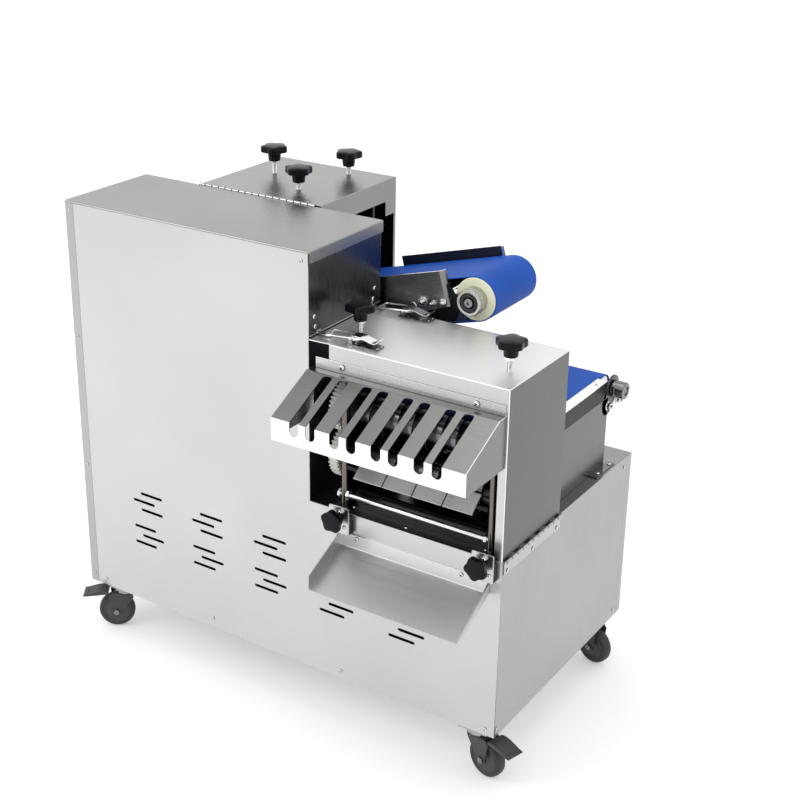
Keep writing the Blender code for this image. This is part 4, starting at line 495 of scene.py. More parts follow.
hinge_steel = brushed("hinge_steel", (0.48, 0.48, 0.48), 0.22, (6, 500, 500), 0.05, 0.03)
leaf = bmesh.new()
block(leaf, (HEAD_LEFT, LID_BACK, TOWER_TOP - 0.026),
      (UPPER_HINGE_END, LID_BACK + 0.0012, TOWER_TOP - HINGE_RADIUS))
# Leaf and pin take the dark-toned sheet as painted shade.
piece("upper_hinge_leaf", leaf, painted_shade_dark_sheet, "machine")
hinge_pin = bmesh.new()
spin(hinge_pin, "x", (UPPER_HINGE_Y, TOWER_TOP), [(HINGE_PIN, HEAD_LEFT), (HINGE_PIN, UPPER_HINGE_END)], 16)
piece("upper_hinge_pin", hinge_pin, painted_shade_dark_sheet, "machine")
fixed_leaf = [
    (LID_BACK, TOWER_TOP - 0.008), (LID_BACK + 0.0012, TOWER_TOP - 0.008),
    (LID_BACK + 0.0012, TOWER_TOP - 0.0025),
    (LID_BACK, TOWER_TOP - 0.0025),
]
knuckles("upper_hinge_fixed_knuckles", "x", (UPPER_HINGE_Y, TOWER_TOP), HEAD_LEFT, UPPER_HINGE_END,
         UPPER_KNUCKLES, False,
         hinge_steel, "machine", fixed_leaf)
HOOD_FRONT = UPPER_HINGE_Y + HINGE_RADIUS + 2 * GAP
moving_leaf = [
    (UPPER_HINGE_Y + 0.0025, TOWER_TOP - 0.0015), (HOOD_FRONT + SHEET, TOWER_TOP - 0.0015),
    (HOOD_FRONT + SHEET, TOWER_TOP - GAP), (UPPER_HINGE_Y + 0.0025, TOWER_TOP - GAP),
]
knuckles("upper_hinge_moving_knuckles", "x", (UPPER_HINGE_Y, TOWER_TOP), HEAD_LEFT, UPPER_HINGE_END,
         UPPER_KNUCKLES, True,
         hinge_steel, "upper_cover", moving_leaf)

# Hood over the upper head: folded and corner-welded 2 mm sheet, open below. The slices go in at the
# left, and the strips leave at the right through an opening with a stepped, rounded corner.
HOOD_LOW = 0.600
OUTLET_TOP = TOWER_TOP - 0.043
OUTLET_STEP = OUTLET_TOP - 0.030
OUTLET_BACK = HEAD_BACK - 0.009
STEP_BACK = OUTLET_BACK - 0.0305
OUTLET_ROUND = 0.004
INLET_TOP = TOWER_TOP - 0.032
INLET_BACK = 0.450
painted_shade_hood_side = brushed("painted_shade_hood_side", (0.265, 0.265, 0.262), 0.30, (1500, 1500, 9), 0.08, 0.02)
outlet_corner = arc((STEP_BACK - OUTLET_ROUND, OUTLET_TOP - OUTLET_ROUND), OUTLET_ROUND, 0, 90, 4)
right_side = [(HOOD_FRONT, TOWER_TOP), (HEAD_BACK, TOWER_TOP), (HEAD_BACK, HOOD_LOW),
              (OUTLET_BACK, HOOD_LOW),
              (OUTLET_BACK, OUTLET_STEP), (STEP_BACK, OUTLET_STEP)] + outlet_corner + [(HOOD_FRONT,
                                                                                        OUTLET_TOP)]
left_side = [(HOOD_FRONT, TOWER_TOP), (HEAD_BACK, TOWER_TOP), (HEAD_BACK, HOOD_LOW), (INLET_BACK, HOOD_LOW),
             (INLET_BACK, INLET_TOP), (HOOD_FRONT, INLET_TOP)]
# The hood's right-facing faces take a darker copy of the sheet, as painted shade.
folded("upper_hood", [
    plane("z", TOWER_TOP, (HEAD_LEFT, HOOD_FRONT), (HEAD_RIGHT, HOOD_FRONT), (HEAD_RIGHT, HEAD_BACK),
          (HEAD_LEFT, HEAD_BACK)),
    plane("x", HEAD_RIGHT, *right_side),
    plane("x", HEAD_LEFT, *left_side),
    plane("y", HEAD_BACK, (HEAD_LEFT, TOWER_TOP), (HEAD_RIGHT, TOWER_TOP), (HEAD_RIGHT, HOOD_LOW),
          (HEAD_LEFT, HOOD_LOW)),
], painted_shade_level_sheet, "upper_cover", "upper_cover", faces=(((1, 0, 0), painted_shade_hood_side),))


# Star knobs: glossy black moulded caps with five lobes, on steel studs that clamp the covers down.
# The two lower ones sit on a bright hexagon collar.
def moulded(name, colour, rough, speckle=400.0, depth=0.02, spread=0.12):
    """Plastic, paint or rubber: even colour with a faint mottle, and a fine orange-peel bump."""
    parts = finish(name)
    tree = parts[1]
    mottle = grain(tree, (9, 9, 9), 3.0).outputs["Fac"]
    peel = grain(tree, (speckle, speckle, speckle), 2.0).outputs["Fac"]
    return patterned(parts, colour, spread, mottle, ramp(tree, peel, rough * 0.85, rough * 1.15), peel,
                     depth, 0.0005)


knob_black = moulded("knob_black", (0.004, 0.004, 0.007), 0.13)
knob_black.node_tree.nodes["Principled BSDF"].inputs["Specular IOR Level"].default_value = 0.16
stud_steel = brushed("stud_steel", (0.78, 0.78, 0.78), 0.14, (200, 200, 200), 0.05, 0.02)
LOBES = 5
KNOB_RINGS = (
    (0.0112, 0, 0.0), (0.0119, 0, 0.0006), (0.0128, 0, 0.0090), (0.0136, 0, 0.0142),
    (0.0152, 0.0004, 0.0165),
    (0.0205, 0.0022, 0.0172), (0.0257, 0.0040, 0.0175), (0.0271, 0.0047, 0.0184), (0.0275, 0.0049, 0.0200),
    (0.0275, 0.0049, 0.0276), (0.0270, 0.0047, 0.0290), (0.0258, 0.0042, 0.0301), (0.0225, 0.0030, 0.0309),
    (0.0150, 0.0012, 0.0316), (0.0080, 0.0003, 0.0319), (0.0020, 0, 0.0320),
)
THREAD_PITCH = 0.0015


def star_knob(name, body, face, place, stem, below, scale=1.0, collar=False, twist=0.0):
    """Moulded star cap whose hub starts a stem's height over its seat, and its threaded stud."""
    cap = bmesh.new()
    loops = []
    for radius, notch, rise in KNOB_RINGS:
        loop = []
        for angle in circle(70):
            r = (radius - notch * (1 - math.cos(LOBES * angle)) / 2) * scale
            loop.append(on_face(face, place, r * math.cos(angle + twist), r * math.sin(angle + twist),
                                stem + rise * scale))
        loops.append(loop)
    skin(cap, loops)
    piece(name + "_cap", cap, knob_black, body, name, width=0, angle=50)
    stud = bmesh.new()
    radius = 0.005 * scale
    rings = [(radius * 0.8, -below)]
    turns = round((stem + below) / THREAD_PITCH)
    for k in range(turns):
        rise = -below + (stem + below) * (k + 0.5) / turns
        rings += [(radius, rise), (radius * 0.86, rise + THREAD_PITCH / 2)]
    rings[-1] = (radius, stem)
    skin(stud, [[on_face(face, place, r * math.cos(a), r * math.sin(a), rise) for a in circle(20)] for r,
                rise in rings])
    if collar:
        nut(stud, face, place, 0.0165, stem - 0.006, stem)
    piece(name + "_stud", stud, stud_steel, body, width=0)


def nut(shape, face, place, across, start, stop, twist=0.3, domed=0.0):
    """Adds a hexagon head with a chamfered top, and with a dome on it where it is a cap nut."""
    flat = across / 2
    chamfer = flat * 0.12

    def hexagon(share, limit, rise):
        loop = []
        for angle in circle(36):
            to_side = (angle + math.pi / 6) % (math.pi / 3) - math.pi / 6
            r = min(share * flat / math.cos(to_side), limit)
            loop.append(on_face(face, place, r * math.cos(angle + twist), r * math.sin(angle + twist),
                                rise))
        return loop

    wide = flat * 1.2
    loops = [hexagon(1, flat, start), hexagon(1, wide, start + chamfer), hexagon(1, wide, stop - chamfer),
             hexagon(1, flat, stop)]
    if domed:
        for turn in (0.05, 0.5, 0.9, 1.25, 1.5):
            loops.append(hexagon(0.9, flat * 0.86 * math.cos(turn), stop + domed * math.sin(turn)))
    skin(shape, loops)


KNOB_SEATS = (("left", 0.206, 0.385, 0.026, 0.2), ("front", 0.320, 0.3115, 0.015, 0.9),
              ("back", 0.334, 0.462, 0.017, 0.5))
for which, x, y, stem, twist in KNOB_SEATS:
    name = "upper_knob_" + which
    star_knob(name, name, "top", (x, y, TOWER_TOP), stem, 0.016, twist=twist)

# Upper head inside the hood: a pedestal of folded sheet with two thick side plates, and the sloping
# tray on the left that leads the slices in.
head_coat = brushed("head_coat", (0.050, 0.050, 0.053), 0.34, (500, 500, 6), 0.2)
dress("upper_head_frame", head_coat)
TRAY = (-0.030, 0.232)
TRAY_LOW = 0.680
TRAY_RISE = (TRAY[1] - TRAY[0]) * math.tan(math.radians(6))
TRAY_WALL = 0.030
TRAY_SIDES = (0.2383, 0.4297)
high = TRAY_LOW + TRAY_RISE


def tray_edge(y, rise=0.0):
    """The two ends of the tray's floor at a depth, raised by the height of its wall."""
    return [(TRAY[0], y, high + rise), (TRAY[1], y, TRAY_LOW + rise)]


near, far = TRAY_SIDES
folded("infeed_tray_sheet", [
    tray_edge(near) + tray_edge(far)[::-1],
    tray_edge(near) + tray_edge(near, TRAY_WALL)[::-1],
    tray_edge(far) + tray_edge(far, TRAY_WALL)[::-1],
], painted_shade_level_sheet, "machine", "infeed_tray")

# Cutters of the upper head: round blades and spacers on ground steel shafts, geared together. Each
# blade is ground to an edge on both sides.
BLADE_RADIUS = 0.047
BLADE_HALF = 0.001
BLADE_BEVEL = 0.006
SPACER_RADIUS = 0.028
# The blades are toned dark grey as painted shade of the closed hood and cover.
painted_shade_blade_steel = brushed("painted_shade_blade_steel", (0.17, 0.173, 0.178), 0.20, (60, 60, 60), 0.06, 0.02)


def cutter(shape, axis, centre, ends, collar, first, pitch, count):
    """Adds a cutter shaft with its spacers and its ground round blades."""
    s, r, chamfer = SHAFT_RADIUS, SPACER_RADIUS, 0.001
    profile = [(s - chamfer, ends[0]), (s, ends[0] + chamfer), (s, collar[0]), (r, collar[0])]
    for k in range(count):
        face = first + k * pitch
        profile += [(r, face - BLADE_HALF), (BLADE_RADIUS - BLADE_BEVEL, face - BLADE_HALF),
                    (BLADE_RADIUS, face - 0.0001),
                    (BLADE_RADIUS, face + 0.0001), (BLADE_RADIUS - BLADE_BEVEL, face + BLADE_HALF),
                    (r, face + BLADE_HALF)]
    profile += [(r, collar[1]), (s, collar[1]), (s, ends[1] - chamfer), (s - chamfer, ends[1])]
    spin(shape, axis, centre, profile, 72)


GEAR_PITCH_RADIUS = 0.045
GEAR_WIDTH = 0.018
TOOTH_SHAPE = ((-0.50, 0.0), (-0.34, 0.04), (-0.27, 0.35), (-0.20, 0.72), (-0.13, 1.0), (0.13, 1.0),
               (0.20, 0.72),
               (0.27, 0.35), (0.34, 0.04))


def gear(shape, axis, centre, teeth, start, phase, hub):
    """Adds a spur gear with curved tooth flanks, a thinner web and a raised hub round its bore."""
    order = AXIS_ORDER[axis]
    tip, root = GEAR_PITCH_RADIUS + 0.0022, GEAR_PITCH_RADIUS - 0.0030
    pitch = 2 * math.pi / teeth
    stop = start + GEAR_WIDTH

    def ring(along, radius=None):
        loop = []
        for tooth in range(teeth):
            for share, height in TOOTH_SHAPE:
                angle = phase + (tooth + share) * pitch
                r = radius or root + (tip - root) * height
                loop.append(order(along, centre[0] + r * math.cos(angle), centre[1] + r * math.sin(angle)))
        return loop

    web = 0.004
    skin(shape, [
        ring(start), ring(stop), ring(stop, root - 0.006), ring(stop - web, root - 0.007),
        ring(stop - web, hub + 0.001),
        ring(stop, hub), ring(stop, SHAFT_RADIUS + GAP), ring(start, SHAFT_RADIUS + GAP), ring(start, hub),
        ring(start + web, hub + 0.001), ring(start + web, root - 0.007), ring(start, root - 0.006),
    ], joined=True)


UPPER_SHAFT_X = 0.290
UPPER_BLADES = 5
BLADE_PITCH = 0.029
UPPER_FIRST = (0.2425 + 0.430 - (UPPER_BLADES - 1) * BLADE_PITCH) / 2
for which, z, shift, start, phase in (
    ("bottom", 0.632, 0.0, 0.1553, math.pi / 2),
    ("top", 0.722, 0.25, 0.166, -math.pi / 2 + math.pi / 18),
):
    name = "upper_cutter_" + which
    shape = bmesh.new()
    cutter(shape, "y", (UPPER_SHAFT_X, z), (start, 0.442), (0.240, 0.428),
           UPPER_FIRST + shift * BLADE_PITCH,
           BLADE_PITCH, UPPER_BLADES)
    gear(shape, "y", (UPPER_SHAFT_X, z), 18, 0.168, phase, 0.022)
    piece(name + "_blades", shape, painted_shade_blade_steel, name, name, width=0, angle=25)

# Outfeed belt of the upper head: a seamless blue food belt over two cream nylon rollers, tilted up to
# the right.
BELT = 0.002
OUTFEED_TILT = math.radians(15.5)
OUTFEED_END = (0.752, 0.701)
OUTFEED_LENGTH = 0.36498
OUTFEED_ROLLER = 0.040
OUTFEED_FRONT = 0.250
OUTFEED_BACK = 0.405
OUTFEED_SHAFT = 0.0085


def along_outfeed(back, rise):
    """A place on the tilted belt: back along it from the end roller, and rise across it."""
    x = OUTFEED_END[0] - back * math.cos(OUTFEED_TILT) - rise * math.sin(OUTFEED_TILT)
    return x, OUTFEED_END[1] - back * math.sin(OUTFEED_TILT) + rise * math.cos(OUTFEED_TILT)


def food_belt(name, axis, first, second, radius, start, stop, body, *nodes):
    """Endless belt round two equal rollers, with rounded edges."""
    shape = bmesh.new()
    heading = math.degrees(math.atan2(second[1] - first[1], second[0] - first[0]))
    order = AXIS_ORDER[axis]
    loops = []
    for r, along in ((radius, start), (radius + BELT, start), (radius + BELT, stop), (radius, stop)):
        ring = arc(second, r, heading - 90, heading + 90, 24) + arc(first, r, heading + 90, heading + 270,
                                                                    24)
        loops.append([order(along, u, v) for u, v in ring])
    skin(shape, loops, joined=True)
    return piece(name, shape, belt_blue, body, *nodes, width=0.0006)


frame_steel = brushed("frame_steel", (0.27, 0.27, 0.275), 0.30, (6, 500, 500))
belt_blue = moulded("belt_blue", (0.008, 0.088, 0.470), 0.55, 1100.0, 0.05)
belt_blue.node_tree.nodes["Principled BSDF"].inputs["Specular IOR Level"].default_value = 0.2
food_belt("outfeed_blue_belt", "y", along_outfeed(0, 0), along_outfeed(OUTFEED_LENGTH, 0),
          OUTFEED_ROLLER + GAP,
          OUTFEED_FRONT + 0.002, OUTFEED_BACK - 0.002, "machine", "outfeed_belt")
cream_nylon = moulded("cream_nylon", (0.93, 0.95, 0.70), 0.42, 500.0, 0.03, 0.04)
for name, back, front_end, back_end in (
    ("outfeed_end_roller", 0.0, 0.026, 0.0095), ("outfeed_tail_roller", OUTFEED_LENGTH, 0.0165, 0.0095),
):
    centre = along_outfeed(back, 0)
    r, edge = OUTFEED_ROLLER, 0.0012
    drum = bmesh.new()
    spin(drum, "y", centre, [
        (OUTFEED_SHAFT, OUTFEED_FRONT), (r - edge, OUTFEED_FRONT), (r, OUTFEED_FRONT + edge),
        (r, OUTFEED_BACK - edge), (r - edge, OUTFEED_BACK), (OUTFEED_SHAFT, OUTFEED_BACK),
    ], 64, True)
    piece(name + "_drum", drum, cream_nylon, name, name, width=0)
    shaft = bmesh.new()
    s = OUTFEED_SHAFT - 0.00005
    spin(shaft, "y", centre, [
        (0.0015, OUTFEED_FRONT - front_end + 0.003), (0.0028, OUTFEED_FRONT - front_end),
        (s - 0.0008, OUTFEED_FRONT - front_end),
        (s, OUTFEED_FRONT - front_end + 0.0008), (s, OUTFEED_BACK + back_end - 0.0008),
        (s - 0.0008, OUTFEED_BACK + back_end),
    ], 32)
    piece(name + "_shaft", shaft, frame_steel, name, width=0)

# Frame of that belt: two bent steel side plates, the back one low with a guide bar on top, joined by two
# rods and the plate that takes the strips over. An arm of each plate holds the end roller.
# Steel toned near white, as a painted highlight on edges and lips.
painted_highlight_steel = brushed("painted_highlight_steel", (0.97, 0.97, 0.965), 0.22, (6, 500, 500), 0.03)
PLATE = 0.004
SIDE_RISE = 0.060
SIDE_DROP = 0.028
FRONT_PLATE = (0.2385, 0.2425)
BACK_PLATE = (OUTFEED_BACK + 0.0055, OUTFEED_BACK + 0.0095)
PLATE_BEND = 0.010
TAIL_END = OUTFEED_LENGTH + 2 * OUTFEED_SHAFT


def side_plate(name, surface, faces, near_end, rises, tail, *nodes):
    """Side plate with a bend at its end towards the belt, between two rises, and deeper at its tail."""
    start, stop = faces
    inward = 1 if start < OUTFEED_FRONT else -1
    outside = start if inward > 0 else stop
    run = [(tail, outside), (near_end + PLATE_BEND, outside)]
    run += [(near_end + PLATE_BEND * (1 - math.sin(t)), outside + inward * PLATE_BEND * (1 - math.cos(t)))
            for t in (math.radians(a) for a in range(15, 91, 15))]
    run.append((near_end, outside + inward * 0.0115))
    shape = bmesh.new()
    rows = []
    for back, y in run:
        for rise in (rises[0] if back > near_end + 0.02 else rises[1], rises[2]):
            x, z = along_outfeed(back, rise)
            rows.append(shape.verts.new((x, y, z)))
    drops = [rows[2 * i:2 * i + 2] for i in range(len(run))]
    x, z = along_outfeed(tail * 0.7, rises[0])
    knee = shape.verts.new((x, outside, z))
    for k, (low, high) in enumerate(zip(drops, drops[1:])):
        shape.faces.new((low[0], knee, high[0], high[1], low[1]) if k == 0 else (low[0], high[0], high[1],
                                                                                 low[1]))
    bmesh.ops.recalc_face_normals(shape, faces=shape.faces)
    flat = max(shape.faces, key=lambda f: f.calc_area())
    if flat.normal.y * inward > 0:
        bmesh.ops.reverse_faces(shape, faces=shape.faces)
    data = bpy.data.meshes.new(name)
    shape.to_mesh(data)
    shape.free()
    made = fit(name, data, surface, "machine", *nodes)
    solid = made.modifiers.new("plate", "SOLIDIFY")
    solid.thickness = PLATE
    solid.offset = -1
    solid.use_even_offset = True
    # The plate's rim faces take the near-white steel as a painted highlight.
    data.materials.append(painted_highlight_steel)
    solid.material_offset_rim = 1
    return soften(made, 0.0004, 2)


guide_coat = brushed("guide_coat", (0.085, 0.085, 0.088), 0.50, (300, 300, 300), 0.2, 0.02)
side_plate("outfeed_front_plate", frame_steel, FRONT_PLATE, 0.047, (-SIDE_DROP, -0.007, SIDE_RISE),
           TAIL_END, "outfeed_frame")
side_plate("outfeed_back_plate", black_coat_and_painted_shade, BACK_PLATE, 0.036, (-SIDE_DROP, -0.007, 0.036), TAIL_END)
side_plate("outfeed_back_guide", guide_coat, BACK_PLATE, 0.016, (0.0363, 0.0363, SIDE_RISE), 0.250)
cross_rods = bmesh.new()
for share in (0.35, 0.75):
    ends = (FRONT_PLATE[0] - 0.001, BACK_PLATE[1] + 0.001)
    spin(cross_rods, "y", along_outfeed(OUTFEED_LENGTH * share, 0), [
        (0.0075, ends[0]), (0.0085, ends[0] + 0.001), (0.0085, ends[1] - 0.001), (0.0075, ends[1])], 28)
piece("outfeed_cross_rods", cross_rods, stud_steel, "machine", width=0)
TAKE_OVER = ((0.345, 0.671), (0.3893, 0.6462))
take_over = bmesh.new()
(x_high, z_high), (x_low, z_low) = TAKE_OVER
slab(take_over, "y", [(x_high, z_high), (x_low, z_low), (x_low, z_low + 0.003), (x_high, z_high + 0.003)],
     FRONT_PLATE[1] - 0.001, BACK_PLATE[0] + 0.001)
piece("outfeed_lead_plate", take_over, painted_shade_level_sheet, "machine")
arms = bmesh.new()
for start, stop in ((FRONT_PLATE[1], OUTFEED_FRONT - 0.002), (BACK_PLATE[1], BACK_PLATE[1] + 0.006)):
    arm = [along_outfeed(u, w) for u, w in ((0.012, -0.014), (0.010, 0.012), (0.036, 0.014), (0.045, 0.034),
                                            (0.110, 0.036), (0.110, -0.034), (0.048, -0.036),
                                            (0.036, -0.018))]
    slab(arms, "y", arm, start, stop)
piece("bearing_arms", arms, black_coat_and_painted_shade, "machine", width=0.0008)

# Bearings of the end roller: turned steel housings with a black seal sunk round the shaft.
seal_rubber = moulded("seal_rubber", (0.014, 0.014, 0.015), 0.30)
housing_steel = brushed("housing_steel", (0.50, 0.485, 0.455), 0.22, (60, 60, 60), 0.06, 0.02)
for which, outer_end, inner_end in (
    ("front", OUTFEED_FRONT - 0.0243, OUTFEED_FRONT - GAP),
    ("back", OUTFEED_BACK + 0.0147, OUTFEED_BACK + GAP),
):
    toward = 1 if inner_end > outer_end else -1
    housing = bmesh.new()
    turned = [(r, outer_end + toward * depth) for r, depth in (
        (0.0185, 0.0008), (0.0190, 0), (0.0232, 0), (0.0245, 0.0014), (0.0247, 0.0075), (0.0238, 0.0085),
        (0.0238, 0.0095), (0.0250, 0.0105), (0.0092, 0.006), (0.0185, 0.006))]
    turned[8:8] = [(0.0250, inner_end), (0.0092, inner_end)]
    spin(housing, "y", OUTFEED_END, turned, 56, True)
    piece("bearing_housing_" + which, housing, housing_steel, "machine", width=0, angle=28)
    seal = bmesh.new()
    spin(seal, "y", OUTFEED_END, [(r, outer_end + toward * depth) for r, depth in (
        (0.0092, 0.0030), (0.0110, 0.0018), (0.0125, 0.0030), (0.0150, 0.0030), (0.0165, 0.0018),
        (0.0183, 0.0024),
        (0.0183, 0.0055), (0.0092, 0.0055))], 48, True)
    piece("bearing_seal_" + which, seal, seal_rubber, "machine", width=0, angle=60)
bolts = bmesh.new()
for back, rise, across in ((0.103, 0.008, 0.0145), (0.082, 0.003, 0.009), (0.060, 0.002, 0.0145)):
    x, z = along_outfeed(back, rise)
    base = FRONT_PLATE[0] if back > 0.06 else FRONT_PLATE[1]
    spin(bolts, "y", (x, z), [(across * 0.62, base), (across * 0.62, base - 0.0012),
                              (across * 0.3, base - 0.0012)], 24)
    nut(bolts, "front", (x, base, z), across, 0.0012, 0.0062, back * 40)
    spin(bolts, "y", (x, z), [(across * 0.28, base - 0.005), (across * 0.28, base - 0.0105),
                              (across * 0.2, base - 0.0115)], 16)
piece("outfeed_plate_bolts", bolts, screw_steel, "machine", width=0)

# Feed belt of the lower head: the same blue belt, level, over two ground steel rollers. The back
# roller ends in turned hubs that stand out on both sides.
FEED_TOP = 0.5245
FEED_LEFT, FEED_RIGHT = 0.642, 0.920
FEED_ROLLER = 0.020
FEED_Z = FEED_TOP - BELT - FEED_ROLLER
FEED_FRONT_Y, FEED_BACK_Y = 0.165, 0.456
FEED_SHAFT = 0.007
food_belt("feed_blue_belt", "x", (FEED_FRONT_Y, FEED_Z), (FEED_BACK_Y, FEED_Z), FEED_ROLLER + GAP,
          FEED_LEFT, FEED_RIGHT,
          "machine", "feed_belt")
roller_steel = brushed("roller_steel", (0.66, 0.67, 0.68), 0.15, (300, 40, 40), 0.05, 0.03)
hub_steel = brushed("hub_steel", (0.22, 0.22, 0.23), 0.16, (60, 60, 60), 0.08, 0.02)
LOWER_LEFT, LOWER_RIGHT = 0.636, 0.926
for name, y, left_end, right_end in (
    ("feed_front_roller", FEED_FRONT_Y, LOWER_LEFT - 0.005, LOWER_RIGHT + 0.005),
    ("feed_back_roller", FEED_BACK_Y, FEED_LEFT - 0.0183, FEED_RIGHT + 0.0183),
):
    drum = bmesh.new()
    spin(drum, "x", (y, FEED_Z), [
        (FEED_SHAFT, left_end), (FEED_SHAFT, FEED_LEFT + 0.002), (FEED_ROLLER - 0.001, FEED_LEFT + 0.002),
        (FEED_ROLLER, FEED_LEFT + 0.003), (FEED_ROLLER, FEED_RIGHT - 0.003),
        (FEED_ROLLER - 0.001, FEED_RIGHT - 0.002),
        (FEED_SHAFT, FEED_RIGHT - 0.002), (FEED_SHAFT, right_end)], 48)
    piece(name + "_drum", drum, roller_steel, name, name, width=0)
HUB_RADIUS = 0.0165
HUB_REACH = 0.026
hubs = bmesh.new()
for end, out in ((FEED_LEFT - 0.0183, -1), (FEED_RIGHT + 0.0183, 1)):
    spin(hubs, "x", (FEED_BACK_Y, FEED_Z), [
        (r, end + out * reach) for r, reach in (
            (0.0070, 0.0), (0.0150, 0.0), (HUB_RADIUS, 0.0012), (HUB_RADIUS, 0.0080), (0.0156, 0.0088),
            (0.0156, 0.0104),
            (HUB_RADIUS, 0.0112), (HUB_RADIUS, HUB_REACH - 0.0016), (0.0152, HUB_REACH),
            (0.0090, HUB_REACH),
            (0.0086, HUB_REACH - 0.0020), (0.0050, HUB_REACH - 0.0020), (0.0042, HUB_REACH - 0.0008),
            (0.0010, HUB_REACH - 0.0008))
    ], 40)
piece("feed_roller_hubs", hubs, hub_steel, "feed_back_roller", width=0)

# Rails beside the feed belt: angle steel with a black face and a flange on top toned near white as a
# painted highlight, closed at the back by take-up plates that hold the back roller with two bolts each.
RAIL = 0.004
RAIL_OUTER = (FEED_LEFT - 0.018, FEED_RIGHT + 0.018)
RAIL_RUN = (0.207, 0.428)
RAIL_LOW = 0.4915
FLANGE_TOP = FEED_TOP + GAP + RAIL / 2
TAKE_UP = 0.026
black_rail = brushed("black_rail", (0.045, 0.045, 0.048), 0.26, (500, 6, 500), 0.2)
take_up_steel = brushed("take_up_steel", (0.085, 0.085, 0.090), 0.20, (60, 60, 60), 0.08, 0.02)
rails, flanges, plates, washers = bmesh.new(), bmesh.new(), bmesh.new(), bmesh.new()
take_up_outline = arc((FEED_BACK_Y, FEED_Z), TAKE_UP, -40, 140,
                      18) + arc((FEED_BACK_Y - 0.020, FEED_Z - 0.022), TAKE_UP, 140, 320, 18)
for outer, inward, face in ((RAIL_OUTER[0], 1, "left"), (RAIL_OUTER[1], -1, "right")):
    inner = outer + inward * RAIL
    tip = inner + inward * 0.016
    slab(rails, "y", [(outer, RAIL_LOW), (inner, RAIL_LOW), (inner, FLANGE_TOP - 0.002),
                      (outer, FLANGE_TOP - 0.002)], *RAIL_RUN)
    slab(flanges, "y", [(outer, FLANGE_TOP - 0.002), (tip, FLANGE_TOP - 0.002), (tip, FLANGE_TOP),
                        (outer, FLANGE_TOP)], *RAIL_RUN)
    slab(plates, "x", take_up_outline, outer + inward * RAIL, outer)
    for y, z, across in ((0.480, 0.474, 0.017), (0.434, 0.4746, 0.012)):
        base = outer
        steps = [(across * 0.72, 0), (across * 0.72, 0.0012), (across * 0.64, 0.0016),
                 (across * 0.3, 0.0016)]
        spin(washers, "x", (y, z), [(r, base - inward * reach) for r, reach in steps], 28)
        nut(washers, face, (base, y, z), across, 0.0016, 0.0075, y * 30)
        spin(washers, "x", (y, z), [(across * 0.28, base - inward * 0.006),
                                    (across * 0.28, base - inward * 0.0115),
                                    (across * 0.2, base - inward * 0.0125)], 18)
piece("feed_rails", rails, black_coat_and_painted_shade, "machine", "feed_frame", width=0.0008)
piece("feed_rail_flanges", flanges, painted_highlight_steel, "machine")
piece("feed_take_up_plates", plates, take_up_steel, "machine", width=0.0010, segments=3)
piece("feed_take_up_bolts", washers, screw_steel, "machine", width=0)
pan_heads("feed_rail_screws", "machine", "top", [
    (x, y, FLANGE_TOP) for x in (RAIL_OUTER[0] + 0.009, RAIL_OUTER[1] - 0.009) for y in (0.235, 0.400)],
    0.0025)

# Stand of the feed belt: an open box of folded sheet screwed to the deck, with the bed under the belt.
STAND_FRONT, STAND_BACK = 0.235, 0.438
low, high = CABINET_HEIGHT + GAP, RAIL_LOW
bed = bmesh.new()
block(bed, (RAIL_OUTER[0] + 0.002, RAIL_RUN[0], FEED_TOP - BELT - GAP - 0.002),
      (RAIL_OUTER[1] - 0.002, RAIL_RUN[1] - 0.002,
                                                                                FEED_TOP - BELT - GAP))
piece("feed_bed", bed, painted_shade_level_sheet, "machine")
stand_sides = []
left, right = RAIL_OUTER
return_run = FEED_Z - FEED_ROLLER - BELT - 0.004
for a, b, high_edge in (
    ((left, STAND_FRONT), (right, STAND_FRONT), return_run),
    ((right, STAND_FRONT), (right, STAND_BACK), high),
    ((right, STAND_BACK), (left, STAND_BACK), return_run), ((left, STAND_BACK), (left, STAND_FRONT), high),
):
    panel = [(*a, low), (*b, low), (*b, return_run)]
    panel += [(*b, high), (*a, high)] if high_edge > return_run else []
    stand_sides.append(panel + [(*a, return_run)])
# The stand's stainless is toned dark as painted shade under the cover.
painted_shade_stand_steel = brushed("painted_shade_stand_steel", (0.158, 0.158, 0.156), 0.28, (1500, 1500, 9), 0.10)
folded("feed_stand_sheet", stand_sides, painted_shade_stand_steel, "machine")
STAND_FOOT = 0.016
feet = bmesh.new()
for x, out in ((left, -1), (right, 1)):
    ends = sorted((x, x + out * STAND_FOOT))
    block(feet, (ends[0], 0.375, low), (ends[1], 0.452, low + 0.002))
piece("feed_stand_feet", feet, hub_steel, "machine")
pan_heads("feed_foot_screws", "machine", "top", [
    (x, y, low + 0.002) for x in (left - 0.009, right + 0.009) for y in (0.392, 0.441)], 0.0040)

# Lower head: two thick steel side plates joined by cross bars, and the plate that lifts the strips off
# the feed belt into the cutters. Three screws hold it to the deck.
dress("lower_head_frame", black_rail, 0.0008)
pan_heads("front_deck_screws", "machine", "top", [
    (0.7633, 0.0134, CABINET_HEIGHT), (0.6458, 0.0257, CABINET_HEIGHT), (0.9162, 0.0240, CABINET_HEIGHT)],
    0.0036)

